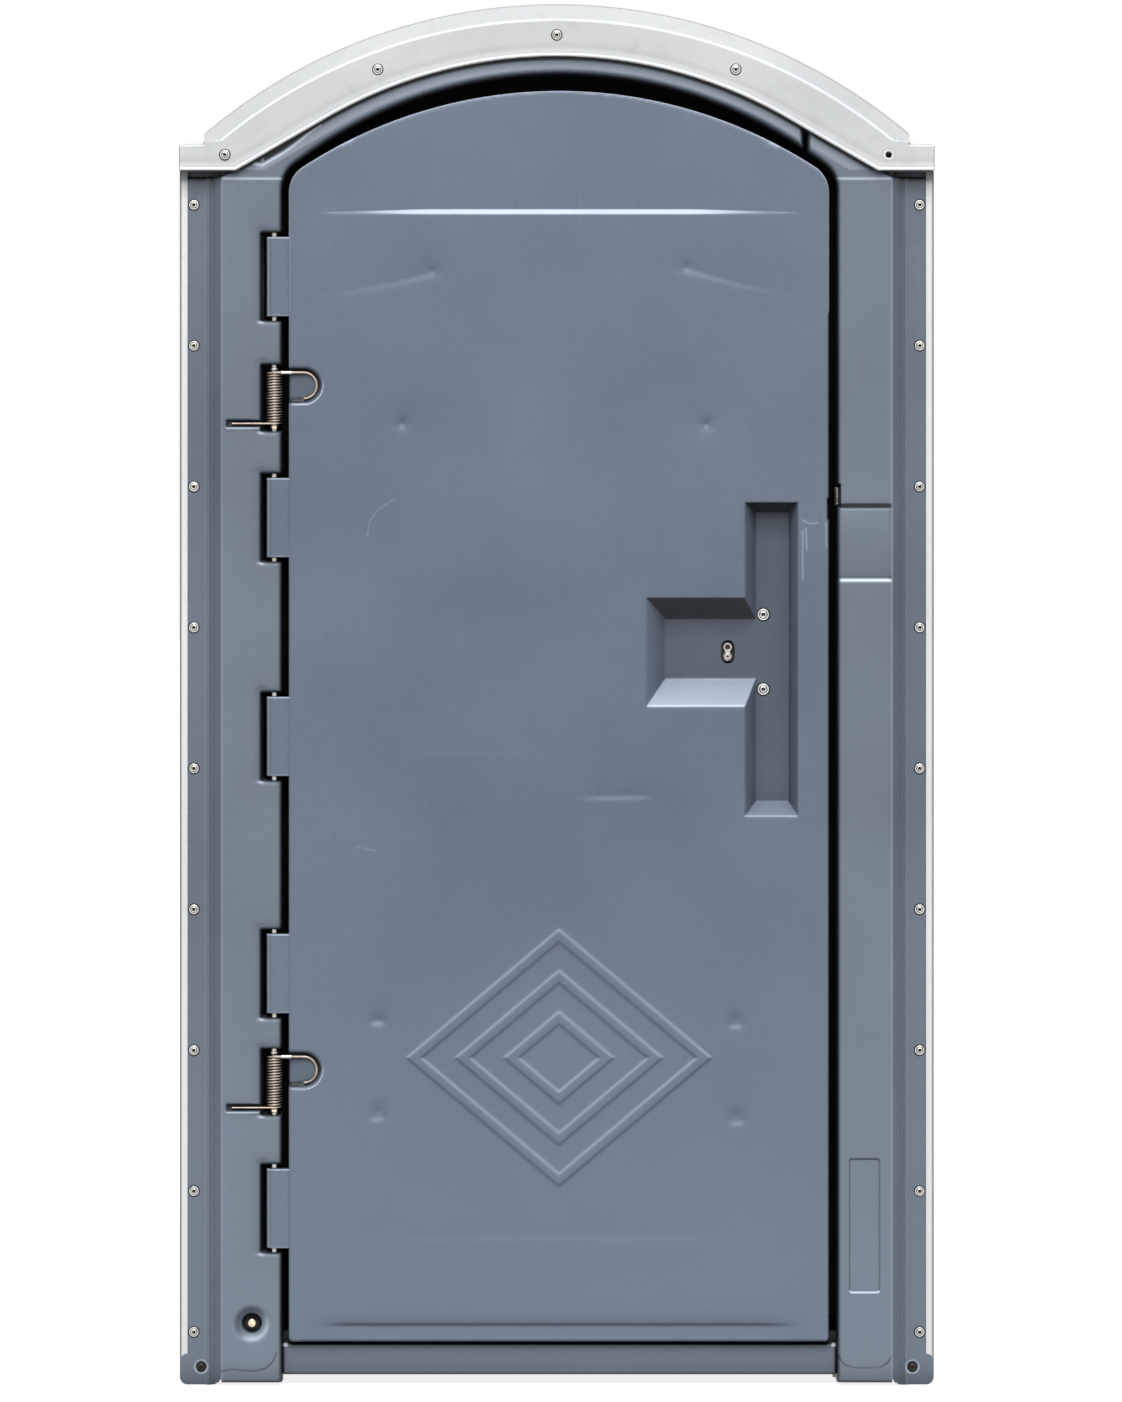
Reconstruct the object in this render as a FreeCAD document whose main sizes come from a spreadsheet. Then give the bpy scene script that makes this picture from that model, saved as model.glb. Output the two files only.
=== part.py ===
import FreeCAD, Part
import Sketcher
import math
import os
from types import SimpleNamespace

# A portable toilet cabin of moulded plastic: base on two skids, framed front with a hung door,
# three wall panels, a vaulted roof, a waste tank with its seat, and the small fittings inside.
# Millimetres, +X right, +Y to the back, +Z up, origin on the ground at the middle of the cabin.

SIZES = {
    # whole cabin
    "cabin_wide": 1118,
    "cabin_deep": 1219,
    "cabin_tall": 2047,
    "front_inset": 9.5,
    "wall_inset": 12,
    "wall_thick": 22,
    "wall_low": 20,
    "wall_rise": 32,
    "loose_fit": 0.5,
    # front frame
    "left_post": 152,
    "right_post": 144,
    "opening_drop": 105,
    "opening_radius": 645,
    "opening_corner": 50,
    "jamb_left": 89,
    "jamb_right": 82,
    "frame_skin": 5,
    "frame_deep": 43,
    "frame_round": 9,
    "flange_step": 14,
    "ridge_wide": 6,
    "ridge_proud": 3,
    "slope_wide": 16,
    "post_foot": 4.4,
    "post_drop": 8,
    "flange_rise": 27,
    "foot_tall": 46,
    "foot_wide": 59,
    "foot_corner": 12,
    "foot_screw": 12,
    "foot_screw_up": 26.5,
    "hinge_bar": 39,
    "header_lap": 8,
    "header_flange": 45,
    "seam_in": 47,
    "seam_gap": 2,
    "stop_thick": 5,
    "stop_lap": 12,
    # recesses in the posts
    "dish_out": 44.8,
    "dish_up": 91.8,
    "dish_wide": 54,
    "dish_deep": 6,
    "dish_hole": 30,
    "panel_low": 1190,
    "panel_high": 1301,
    "panel_slope": 7,
    "panel_deep": 7,
    "plate_low": 137,
    "plate_high": 337,
    "plate_wide": 47,
    "plate_in": 17,
    "plate_deep": 1.5,
    "staple_low": 1299,
    "staple_high": 1335,
    "staple_slot": 5,
    # door
    "latch_gap": 11.8,
    "sill_gap": 4,
    "crown_gap": 25,
    "door_radius": 696,
    "door_thick": 35,
    "door_skin": 3,
    "door_return": 4,
    "door_shoulder": 47,
    "door_corner": 6,
    "field_proud": 3,
    "field_side": 45,
    "field_low": 89,
    "field_drop": 181,
    "inner_panel": 3,
    "inner_rib": 5,
    "rib_tall": 46,
    "rib_rows": 5,
    "lozenge_wide": 450,
    "lozenge_tall": 380,
    "lozenge_band": 15,
    "lozenge_proud": 2,
    "lozenge_up": 486,
    "edge_notch_low": 1282,
    "edge_notch_tall": 32,
    # hinge
    "pin_in": 11.8,
    "pin_deep": 14,
    "leaf_offset": 22,
    "knuckle_radius": 12,
    "knuckle_tall": 118,
    "knuckle_web": 6,
    "notch_gap": 7,
    "notch_left": 19.8,
    "knuckle_foot": 197,
    "second_share": 0.2522,
    "third_share": 0.5065,
    "fourth_share": 0.7413,
    "knuckle_head": 275,
    "rod_wide": 9.5,
    "rod_foot": 92,
    "rod_head": 108,
    "running_fit": 0.1,
    # hinge springs
    "wire_wide": 3.4,
    "coil_radius": 10.3,
    "coil_turns": 18,
    "coil_pitch": 4.2,
    "upper_coil_drop": 217.5,
    "lower_coil_rise": 139,
    "jamb_arm": 62,
    "door_arm": 44.4,
    "hook_radius": 19.2,
    "hook_pocket": 27.4,
    "hook_deep": 8,
    "arm_slot": 11,
    # handle recess
    "channel_in": 125.2,
    "channel_wide": 79,
    "channel_low": 843,
    "channel_tall": 465,
    "channel_slope": 16,
    "grip_long": 146,
    "grip_low": 1005,
    "grip_tall": 162,
    "grip_slope": 30,
    "grip_deep": 28,
    "grip_corner": 8,
    "window_in": 24,
    "window_wide": 21,
    "window_tall": 35,
    "handle_rivet_in": 28.7,
    "handle_rivet_spread": 55.5,
    # latch
    "housing_long": 184,
    "housing_in": 23.2,
    "housing_deep": 25,
    "housing_wall": 3,
    "housing_flange": 136,
    "bolt_tall": 32,
    "bolt_thick": 10,
    "bolt_short": 19.2,
    "bolt_travel": 40,
    "slider_in": 9,
    "slider_long": 95,
    "slide_gap": 1,
    "link_wide": 26,
    "link_thick": 2,
    "knob_wide": 26,
    "knob_stem": 14,
    "knob_out": 20,
    "strike_thick": 2,
    # roof
    "dome_radius": 807,
    "roof_skin": 4,
    "roof_wall": 5,
    "crease_drop": 25.5,
    "bead_radius": 681,
    "bead_drop": 80,
    "bead_turn": 30,
    "bead_tall": 5,
    "bead_proud": 3,
    "eave_drop": 249,
    "eave_tall": 40,
    "eave_wide": 36,
    # base
    "floor_high": 72,
    "pan_tall": 42,
    "pan_skin": 6,
    "tread_tall": 2,
    "tread_wide": 8,
    "tread_pitch": 40,
    "tread_count": 14,
    "skid_wide": 84,
    "skid_in": 28,
    "skid_nose": 40,
    "sill_high": 61,
    "sill_low": 15,
    "sill_inset": 10,
    "sill_skin": 5,
    # walls
    "panel_in": 60,
    "panel_wide": 300,
    "panel_gap": 40,
    "panel_relief": 5,
    "panel_bottom": 260,
    "panel_drop": 270,
    "vent_wide": 90,
    "vent_high": 10,
    "vent_step": 26,
    "vent_drop": 190,
    "vent_down": 130,
    "trim_skin": 3,
    "trim_leg": 46,
    "trim_low": 33,
    # waste tank
    "bench_up": 470,
    "bench_deep": 508,
    "bench_toe": 80,
    "tank_skin": 6,
    # toilet seat
    "seat_wide": 370,
    "seat_long": 395,
    "seat_thick": 18,
    "seat_open_wide": 230,
    "seat_open_long": 285,
    "seat_back": 20,
    "lid_thick": 12,
    "lid_gap": 3,
    "bumper_tall": 4,
    "bumper_back": 60,
    "bumper_spread": 180,
    "seat_from_back": 73,
    "seat_hinge_up": 14,
    "seat_knuckle": 11,
    "seat_pin": 8,
    "seat_spread": 70,
    # vent pipe
    "pipe_from_wall": 125,
    "pipe_from_back": 98,
    "vent_pipe_wide": 90,
    "vent_pipe_wall": 3,
    "pipe_rise": 12,
    "vent_cap_wide": 120,
    "cap_rise": 24,
    "collar_wide": 130,
    "collar_tall": 14,
    # urinal
    "urinal_up": 620,
    "urinal_radius": 130,
    "urinal_tall": 200,
    "urinal_wall": 5,
    "urinal_foot": 45,
    "drain_wide": 32,
    "drain_wall": 3,
    "drain_into": 30,
    # paper holder
    "paper_up": 700,
    "paper_ahead": 10,
    "paper_out": 45,
    "paper_arm_long": 170,
    "paper_arm_wide": 14,
    "paper_pin": 8,
    # small fittings
    "rivet_wide": 17,
    "rivet_tall": 3,
    "rivet_sides": 12,
    "rivet_over": 32,
    "ear_rivet_in": 56,
    "ear_rivet_up": 24,
    "lost_rivet": 9.5,
    "rivet_in": 9,
    "rivet_first": 78,
    "rivet_drop": 49,
    "rivet_count": 9,
    "pull_in": 87.2,
    "pull_low": 850,
    "pull_tall": 140,
    "pull_out": 34,
    "pull_wide": 28,
    "pull_turn": 8,
    "pull_foot": 20,
    "strap_thick": 4,
    "coat_hook_out": 42,
    "coat_hook_rise": 26,
    "coat_hook_wide": 24,
    "hook_plate": 26,
    "coat_hook_drop": 317,
}

doc = FreeCAD.newDocument("portable_toilet_cabin")
sheet = doc.addObject("Spreadsheet::Sheet", "Sizes")
for row, (alias, number) in enumerate(SIZES.items(), start=1):
    sheet.set(f"A{row}", alias.replace("_", " "))
    sheet.set(f"B{row}", str(number))
    sheet.setAlias(f"B{row}", alias)
doc.recompute()


def text_of(value):
    """The sheet expression of a value."""
    return value.text if isinstance(value, Size) else repr(float(value))


class Size:
    """A length known both as a number and as an expression on the sheet."""

    def __init__(self, number, text):
        self.number = number
        self.text = text

    def __float__(self):
        return float(self.number)

    def __lt__(self, other):
        return float(self) < float(other)

    def __gt__(self, other):
        return float(self) > float(other)

    def __add__(self, other):
        return Size(float(self) + float(other), f"({text_of(self)} + {text_of(other)})")

    def __radd__(self, other):
        return Size(float(other) + float(self), f"({text_of(other)} + {text_of(self)})")

    def __sub__(self, other):
        return Size(float(self) - float(other), f"({text_of(self)} - {text_of(other)})")

    def __rsub__(self, other):
        return Size(float(other) - float(self), f"({text_of(other)} - {text_of(self)})")

    def __mul__(self, other):
        return Size(float(self) * float(other), f"({text_of(self)} * {text_of(other)})")

    def __rmul__(self, other):
        return Size(float(other) * float(self), f"({text_of(other)} * {text_of(self)})")

    def __truediv__(self, other):
        return Size(float(self) / float(other), f"({text_of(self)} / {text_of(other)})")

    def __neg__(self):
        return Size(-float(self), f"(-1 * {text_of(self)})")


def root(value):
    """The square root of a value, also on the sheet."""
    return Size(math.sqrt(float(value)), f"sqrt({text_of(value)})")


S = SimpleNamespace(**{alias: Size(float(sheet.get(alias)), "Sizes." + alias) for alias in SIZES})

# Planes, lines and places that several pieces share
S.eave_low = S.cabin_tall - S.eave_drop
S.bead_crown = S.cabin_tall - S.bead_drop
S.wall_high = S.eave_low + S.wall_rise
S.post_top = S.eave_low - S.post_drop
S.flange_top = S.eave_low + S.flange_rise
S.opening_left = S.cabin_wide / 2 - S.left_post
S.opening_right = S.cabin_wide / 2 - S.right_post
S.opening_crown = S.cabin_tall - S.opening_drop
S.seam_across = S.opening_right - S.seam_in
S.dish_across = S.opening_left + S.dish_out
S.rivet_last = S.eave_low - S.rivet_drop
front = S.front_inset - S.cabin_deep / 2
flange = front + S.flange_step
frame_back = front + S.frame_deep
door_back = front + S.door_thick
wall_out = S.cabin_wide / 2 - S.wall_inset
wall_in = wall_out - S.wall_thick
wall_front = flange + S.frame_skin + S.loose_fit
wall_back = S.cabin_deep / 2 - S.front_inset
back_wall_front = wall_back - S.wall_thick
pin_x = -S.opening_left - S.pin_in
pin_y = front + S.pin_deep
leaf_left = pin_x + S.leaf_offset
leaf_right = S.opening_right - S.latch_gap
leaf_middle = (leaf_left + leaf_right) / 2
jamb_out_left = -S.opening_left - S.jamb_left
jamb_out_right = S.opening_right + S.jamb_right
dome_middle = S.cabin_tall - S.dome_radius
bead_middle = S.bead_crown - S.bead_radius
S.door_wide = leaf_right - leaf_left
S.door_low = S.sill_high + S.sill_gap
S.door_crown = S.opening_crown - S.crown_gap
S.field_high = S.door_crown - S.field_drop
first_knuckle = S.door_low + S.knuckle_foot
last_knuckle = S.door_crown - S.knuckle_head
hinge_span = last_knuckle - first_knuckle
knuckles = [first_knuckle]
knuckles += [first_knuckle + hinge_span * share for share in (S.second_share, S.third_share, S.fourth_share)]
knuckles.append(last_knuckle)
S.rod_low = first_knuckle - S.rod_foot
S.rod_high = last_knuckle + S.rod_head
S.coil_low_lower = first_knuckle + S.lower_coil_rise
S.coil_low_upper = last_knuckle - S.upper_coil_drop
coil_tall = S.coil_turns * S.coil_pitch
S.channel_left = leaf_right - S.channel_in
S.grip_left = S.channel_left - S.grip_long
S.window_across = S.channel_left - S.window_in
S.handle_rivet_across = S.channel_left + S.handle_rivet_in
latch_up = S.grip_low + S.grip_tall / 2
grip_floor = front + S.grip_deep
S.housing_right = leaf_right - S.housing_in
S.housing_left = S.housing_right - S.housing_long
S.slider_left = S.housing_left + S.slider_in
S.slider_right = S.slider_left + S.slider_long
S.bolt_tip = leaf_right - S.bolt_short
S.pull_across = leaf_right - S.pull_in
stop_front = frame_back - S.stop_thick
pan_low = S.floor_high - S.pan_tall
pan_front = frame_back + S.loose_fit
seat_under = S.bench_up + S.bumper_tall
S.coat_hook_up = S.door_crown - S.coat_hook_drop
S.panel_top = S.wall_high - S.panel_drop
S.vent_up = S.wall_high - S.vent_drop
S.bench_front = back_wall_front - S.bench_deep
S.seat_hinge_y = back_wall_front - S.seat_from_back
S.vent_across = wall_in - S.pipe_from_wall
S.vent_back = back_wall_front - S.pipe_from_back
cap_edge = S.vent_across - S.vent_cap_wide / 2
S.vent_pipe_high = dome_middle + root(S.dome_radius * S.dome_radius - cap_edge * cap_edge) + S.pipe_rise
S.vent_cap_high = S.vent_pipe_high + S.cap_rise
S.urinal_y = S.bench_front - S.urinal_radius
S.paper_y = S.bench_front - S.paper_ahead
pieces = []


def at(x, y, z):
    return FreeCAD.Vector(float(x), float(y), float(z))


def block(x0, x1, y0, y1, z0, z1):
    """A box between three pairs of planes."""
    low = at(min(x0, x1), min(y0, y1), min(z0, z1))
    high = at(max(x0, x1), max(y0, y1), max(z0, z1))
    span = high - low
    return Part.makeBox(span.x, span.y, span.z, low)


def cylinder(base, along, radius):
    """A round bar from a base point along a vector."""
    return Part.makeCylinder(float(radius), along.Length, base, along)


def along_y(edges, y0, y1):
    """The closed outline of edges, drawn in the front plane, carried from y0 to y1."""
    face = Part.Face(Part.Wire(Part.__sortEdges__(edges)))
    face.translate(at(0, y0, 0))
    return face.extrude(at(0, y1 - y0, 0))


def line(a, b):
    return Part.LineSegment(at(a[0], 0, a[1]), at(b[0], 0, b[1])).toShape()


def arc(a, middle, b):
    return Part.Arc(at(a[0], 0, a[1]), at(middle[0], 0, middle[1]), at(b[0], 0, b[1])).toShape()


def polygon(points, y0, y1):
    """A straight-sided outline in the front plane, carried from y0 to y1."""
    return along_y([line(a, b) for a, b in zip(points, points[1:] + points[:1])], y0, y1)


def near_edges(shape, spots, reach=0.05):
    """The edges along Y that pass within reach of the given (x, z) spots."""
    found = []
    for edge in shape.Edges:
        ends = [v.Point for v in edge.Vertexes]
        if len(ends) != 2 or abs(ends[0].x - ends[1].x) > reach or abs(ends[0].z - ends[1].z) > reach:
            continue
        if any(math.hypot(ends[0].x - float(x), ends[0].z - float(z)) < reach for x, z in spots):
            found.append(edge)
    return found


def arched(x0, x1, low, crown, radius, middle, y0, y1, shoulder=0, corner=0):
    """A panel with a flat foot and an arched head, its corners rounded."""
    centre = float(crown) - float(radius)

    def head(x):
        return centre + math.sqrt(float(radius) ** 2 - (float(x) - float(middle)) ** 2)

    edges = [line((x0, low), (x1, low)), line((x1, low), (x1, head(x1)))]
    edges.append(arc((x1, head(x1)), (middle, crown), (x0, head(x0))))
    edges.append(line((x0, head(x0)), (x0, low)))
    panel = along_y(edges, y0, y1)
    if float(shoulder) > 0:
        panel = panel.makeFillet(float(shoulder), near_edges(panel, [(x0, head(x0)), (x1, head(x1))]))
    if float(corner) > 0:
        panel = panel.makeFillet(float(corner), near_edges(panel, [(x0, low), (x1, low)]))
    return panel


def rectangle(x0, x1, z0, z1, radius, y):
    """A rectangle in the plane at y, its corners rounded if it has a radius."""
    x0, x1, z0, z1, y = (float(v) for v in (x0, x1, z0, z1, y))
    if not float(radius):
        return Part.makePolygon([at(x0, y, z0), at(x1, y, z0), at(x1, y, z1), at(x0, y, z1), at(x0, y, z0)])
    cut = float(radius)
    bite = cut * (1 - math.sqrt(0.5))
    edges = []
    for cx, cz, sx, sz in ((x0, z0, 1, 1), (x1, z0, -1, 1), (x1, z1, -1, -1), (x0, z1, 1, -1)):
        first = (cx, cz + sz * cut) if sx == sz else (cx + sx * cut, cz)
        last = (cx + sx * cut, cz) if sx == sz else (cx, cz + sz * cut)
        if edges:
            edges.append(line(edges_end, first))
        edges.append(arc(first, (cx + sx * bite, cz + sz * bite), last))
        edges_end = last
    edges.append(line(edges_end, (x0, z0 + cut)))
    wire = Part.Wire(edges)
    wire.translate(at(0, y, 0))
    return wire


def dished(x0, x1, z0, z1, slopes, y0, y1, radius=0, grow=0):
    """A recess that narrows from its mouth at y0 to its floor at y1."""
    left, right, low, high = slopes
    mouth = rectangle(x0 - grow, x1 + grow, z0 - grow, z1 + grow, radius, y0)
    floor = rectangle(x0 + left - grow, x1 - right + grow, z0 + low - grow, z1 - high + grow, radius, y1)
    return Part.makeLoft([mouth, floor], True, True)


def stadium(x, z, wide, tall, y0, y1):
    """An upright slot with round ends."""
    radius = float(wide) / 2
    rise = float(tall) / 2 - radius
    x, z = float(x), float(z)
    edges = [
        line((x - radius, z - rise), (x - radius, z + rise)),
        arc((x - radius, z + rise), (x, z + rise + radius), (x + radius, z + rise)),
        line((x + radius, z + rise), (x + radius, z - rise)),
        arc((x + radius, z - rise), (x, z - rise - radius), (x - radius, z - rise)),
    ]
    return along_y(edges, y0, y1)


def under_bead(grow, foot, y0, y1):
    """The space under the roof's front bead: an arch with straight flanks, raised by grow."""
    radius = float(S.bead_radius) + float(grow)
    turn = math.radians(float(S.bead_turn))
    shoulder_x = radius * math.sin(turn)
    shoulder_z = float(bead_middle) + radius * math.cos(turn)
    foot_x = shoulder_x + (shoulder_z - float(foot)) / math.tan(turn)
    low = float(foot) - float(S.eave_tall) * 2
    edges = [
        arc((-shoulder_x, shoulder_z), (0, bead_middle + radius), (shoulder_x, shoulder_z)),
        line((shoulder_x, shoulder_z), (foot_x, foot)),
        line((foot_x, foot), (foot_x, low)),
        line((foot_x, low), (-foot_x, low)),
        line((-foot_x, low), (-foot_x, foot)),
        line((-foot_x, foot), (-shoulder_x, shoulder_z)),
    ]
    return along_y(edges, y0, y1)


# Objects of the document


def bind(thing, **values):
    """Ties properties of an object to the sheet."""
    for prop, value in values.items():
        thing.setExpression(prop, text_of(value))


def put(thing, x=0, y=0, z=0):
    """Ties the place of an object to the sheet."""
    for axis, value in zip("xyz", (x, y, z)):
        thing.setExpression(".Placement.Base." + axis, text_of(value))


def keep(thing, name):
    """Names an object as one piece of the cabin."""
    thing.Label = name
    pieces.append(thing)
    return thing


def moulded(name, shape, x=0, y=0, z=0):
    """A piece whose form is worked out above, drawn about its own place."""
    thing = doc.addObject("Part::Feature", name)
    thing.Shape = shape.removeSplitter()
    put(thing, x, y, z)
    return keep(thing, name)


def body(name, x=0, y=0, z=0):
    thing = doc.addObject("PartDesign::Body", name)
    put(thing, x, y, z)
    return keep(thing, name)


def sketch_on(piece, plane, lift=0):
    """An empty sketch on one of the body's own planes, lifted along its normal."""
    drawing = piece.newObject("Sketcher::SketchObject", piece.Name + "_sketch")
    support = next(f for f in piece.Origin.OriginFeatures if f.Role == plane + "_Plane")
    drawing.AttachmentSupport = (support, [""])
    drawing.MapMode = "FlatFace"
    drawing.setExpression(".AttachmentOffset.Base.z", text_of(lift))
    return drawing


def hold(drawing, kind, *where, value):
    """One dimension of a sketch, tied to the sheet."""
    number = drawing.addConstraint(Sketcher.Constraint(kind, *where, float(value)))
    drawing.setExpression(f"Constraints[{number}]", text_of(value))


def outline(drawing, corners):
    """A closed straight-sided outline, each corner held from the origin."""
    first = drawing.GeometryCount
    spots = [FreeCAD.Vector(float(x), float(y), 0) for x, y in corners]
    for a, b in zip(spots, spots[1:] + spots[:1]):
        drawing.addGeometry(Part.LineSegment(a, b))
    for i, (x, y) in enumerate(corners):
        after = first + (i + 1) % len(corners)
        drawing.addConstraint(Sketcher.Constraint("Coincident", first + i, 2, after, 1))
        hold(drawing, "DistanceX", -1, 1, first + i, 1, value=x)
        hold(drawing, "DistanceY", -1, 1, first + i, 1, value=y)


def box_outline(drawing, x0, x1, y0, y1):
    outline(drawing, [(x0, y0), (x1, y0), (x1, y1), (x0, y1)])


def circle(drawing, x, y, radius):
    """A circle held by its centre and radius."""
    number = drawing.GeometryCount
    spot = FreeCAD.Vector(float(x), float(y), 0)
    drawing.addGeometry(Part.Circle(spot, FreeCAD.Vector(0, 0, 1), float(radius)))
    hold(drawing, "DistanceX", -1, 1, number, 3, value=x)
    hold(drawing, "DistanceY", -1, 1, number, 3, value=y)
    hold(drawing, "Radius", number, value=radius)


def feature(piece, kind, drawing, side="One side", back=False, **values):
    """A pad, pocket, revolution or groove of a sketch."""
    step = piece.newObject("PartDesign::" + kind, piece.Name + "_" + kind.lower())
    step.Profile = drawing
    if kind in ("Pad", "Pocket"):
        step.SideType = side
    if kind in ("Revolution", "Groove"):
        step.ReferenceAxis = (drawing, ["V_Axis"])
    step.Reversed = back
    bind(step, **values)
    piece.Tip = step
    return step


def repeated(piece, step, plane_axis, length, count):
    """A row of copies of a feature."""
    row = piece.newObject("PartDesign::LinearPattern", piece.Name + "_row")
    row.Originals = [step]
    row.Direction = (step.Profile[0], [plane_axis])
    row.Mode = "Spacing"
    bind(row, Offset=length, Occurrences=count)
    piece.Tip = row
    return row


# Base: two skids, the floor pan and the door sill


def skids():
    """Runners with upturned noses, hidden behind the posts in a front view."""
    middle = wall_in - S.skid_in - S.skid_wide / 2
    nose = pan_low / 2
    for name, side in (("left_skid", -1), ("right_skid", 1)):
        skid = body(name, side * middle, pan_front, 0)
        drawing = sketch_on(skid, "YZ")
        end = back_wall_front - S.loose_fit - pan_front
        outline(drawing, [(S.skid_nose, 0), (end - S.skid_nose, 0), (end, nose), (end, pan_low), (0, pan_low), (0, nose)])
        feature(skid, "Pad", drawing, side="Symmetric", Length=S.skid_wide)


def base_pan():
    """A skirted floor pan with anti-slip treads."""
    pan = body("base_pan", 0, 0, pan_low)
    half = wall_in - S.loose_fit
    start = pan_front
    end = back_wall_front - S.loose_fit
    plate = sketch_on(pan, "XY")
    box_outline(plate, -half, half, start, end)
    feature(pan, "Pad", plate, Length=S.pan_tall)
    hollow = sketch_on(pan, "XY")
    skirt = S.pan_skin
    bar = half - S.skid_in - S.skid_wide - skirt
    box_outline(hollow, -bar, bar, start + skirt, end - skirt)
    feature(pan, "Pocket", hollow, back=True, Length=S.pan_tall - skirt)
    tread = sketch_on(pan, "XY", S.pan_tall)
    edge = start + S.tread_pitch
    box_outline(tread, -bar, bar, edge, edge + S.tread_wide)
    step = feature(pan, "Pad", tread, Length=S.tread_tall)
    repeated(pan, step, "V_Axis", S.tread_pitch, S.tread_count)


def door_sill():
    """The low channel between the posts, set back from their faces."""
    left = -S.opening_left + S.loose_fit
    wide = S.opening_right + S.opening_left - S.loose_fit * 2
    deep = S.frame_deep - S.sill_inset
    sill = body("door_sill", left, front + S.sill_inset, S.sill_low)
    drawing = sketch_on(sill, "YZ")
    tall = S.sill_high - S.sill_low
    skin = S.sill_skin
    corners = [(0, 0), (skin, 0), (skin, tall - skin), (deep - skin, tall - skin)]
    corners += [(deep - skin, 0), (deep, 0), (deep, tall), (skin, tall), (0, tall - skin)]
    outline(drawing, corners)
    feature(sill, "Pad", drawing, Length=wide)


# Front frame: hinge-side post with the header, and the latch-side post


def post_section(side, edge, out, bar):
    """The post's plan outline: flange, ridge, slope, main face, and the side of the opening."""
    skin = S.frame_skin
    run = [(side * wall_out, flange), (out + side * (S.slope_wide + S.ridge_wide + 2), flange)]
    run.append((out + side * (S.slope_wide + S.ridge_wide), flange - S.ridge_proud))
    run.append((out + side * (S.slope_wide + 2), flange - S.ridge_proud))
    run.append((out + side * S.slope_wide, flange))
    run += [(out, front), (edge + side * S.frame_round, front)]
    turn = (edge + side * S.frame_round * 0.293, front + S.frame_round * 0.293)
    run += [turn, (edge, front + S.frame_round), (edge, frame_back), (edge + side * bar, frame_back)]
    run += [(edge + side * bar, front + skin), (out, front + skin), (out + side * S.slope_wide, flange + skin)]
    run.append((side * wall_out, flange + skin))
    points = [at(x, y, 0) for x, y in run]
    turn_at = 6
    edges = []
    for i, (a, b) in enumerate(zip(points, points[1:] + points[:1])):
        if i == turn_at:
            edges.append(Part.Arc(a, b, points[i + 2]).toShape())
        elif i != turn_at + 1:
            edges.append(Part.LineSegment(a, b).toShape())
    return Part.Face(Part.Wire(edges))


def post(side, edge, out, bar):
    """One moulded post with the foot that stands on the ground."""
    section = post_section(side, edge, out, bar)
    section.translate(at(0, 0, S.post_foot))
    shape = section.extrude(at(0, 0, S.post_top - S.post_foot))
    flange_strip = block(side * wall_out, out + side * S.slope_wide, flange, flange + S.frame_skin, 0, S.flange_top)
    shape = shape.fuse(flange_strip)
    foot_in = side * (wall_out + S.wall_inset - S.foot_wide)
    foot_out = side * (wall_out + S.wall_inset)
    foot = block(foot_in, foot_out, flange - 1, flange + S.frame_skin, 0, S.foot_tall)
    ends = [(foot_in, 0), (foot_out, 0)]
    foot = foot.makeFillet(float(S.foot_corner), near_edges(foot, ends))
    foot = foot.cut(block(foot_out, side * wall_out, flange - 2, frame_back, S.trim_low, S.foot_tall * 2))
    shape = shape.fuse(foot)
    cap = block(edge, out, front, frame_back, S.post_foot, S.post_foot + S.frame_skin)
    return shape.fuse(cap)


def header():
    """The arched head of the frame, a channel open at the back, with its fixing flange."""
    skin = float(S.frame_skin)
    middle = (S.opening_right - S.opening_left) / 2

    def opening(grow, y0, y1):
        return arched(
            -S.opening_left - grow, S.opening_right + grow, 0, S.opening_crown + grow,
            S.opening_radius + grow, middle, y0, y1, S.opening_corner + grow,
        )

    outer = under_bead(S.header_lap, S.post_top, front, frame_back)
    hollow = under_bead(S.header_lap - S.frame_skin, S.post_top - S.frame_skin, front + skin, frame_back)
    hollow = hollow.cut(opening(skin, front, frame_back))
    back = float(frame_back) + 1
    mouth = arched(
        -S.opening_left - skin, S.opening_right + skin, 0, S.opening_crown + skin,
        S.opening_radius + skin, middle, front - 1, front + skin * 0.6, S.opening_corner + skin,
    )
    shape = outer.cut(hollow).cut(opening(0, front - 1, back)).cut(mouth)
    upper = under_bead(S.header_flange, S.flange_top, front, front + skin)
    shape = shape.fuse(upper.cut(under_bead(S.header_lap - 1, S.post_top - 1, front - 1, back)))
    return shape.cut(block(-wall_out, wall_out, front - 1, back, 0, S.post_top - S.opening_corner * 2.5))


def door_stop():
    """The lip behind the door's edge that the closed door rests against."""
    lap = S.stop_lap
    y0, y1 = stop_front, frame_back
    middle = (S.opening_right - S.opening_left) / 2
    outer = arched(
        -S.opening_left - 1, S.opening_right + 1, S.floor_high, S.opening_crown + 1,
        S.opening_radius + 1, middle, y0, y1, S.opening_corner,
    )
    inner = arched(
        leaf_left + lap, leaf_right - lap, 0, S.door_crown - lap,
        S.door_radius - lap, leaf_middle, y0 - 1, y1 + 1, S.door_shoulder - lap,
    )
    return outer.cut(inner)


def seam_side(keep_left):
    """A space on one side of the header's seam."""
    x = S.seam_across - S.seam_gap / 2 if keep_left else S.seam_across + S.seam_gap / 2
    reach = S.cabin_wide
    low = S.post_top - S.opening_corner * 3
    space = block(x, reach, -reach, 0, low, S.cabin_tall)
    lower = block(leaf_middle, reach, -reach, 0, 0, low)
    if keep_left:
        return space.fuse(lower)
    return block(-reach, x, -reach, 0, low, S.cabin_tall).fuse(block(-reach, leaf_middle, -reach, 0, 0, low))


def hinge_spots():
    """Low and high ends of the notches for the knuckles and the springs."""
    half = S.knuckle_tall / 2 + S.notch_gap
    spots = [(z - half, z + half) for z in knuckles]
    for low in (S.coil_low_upper, S.coil_low_lower):
        spots.append((low - S.knuckle_radius, low + coil_tall + S.knuckle_radius))
    return spots


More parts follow.
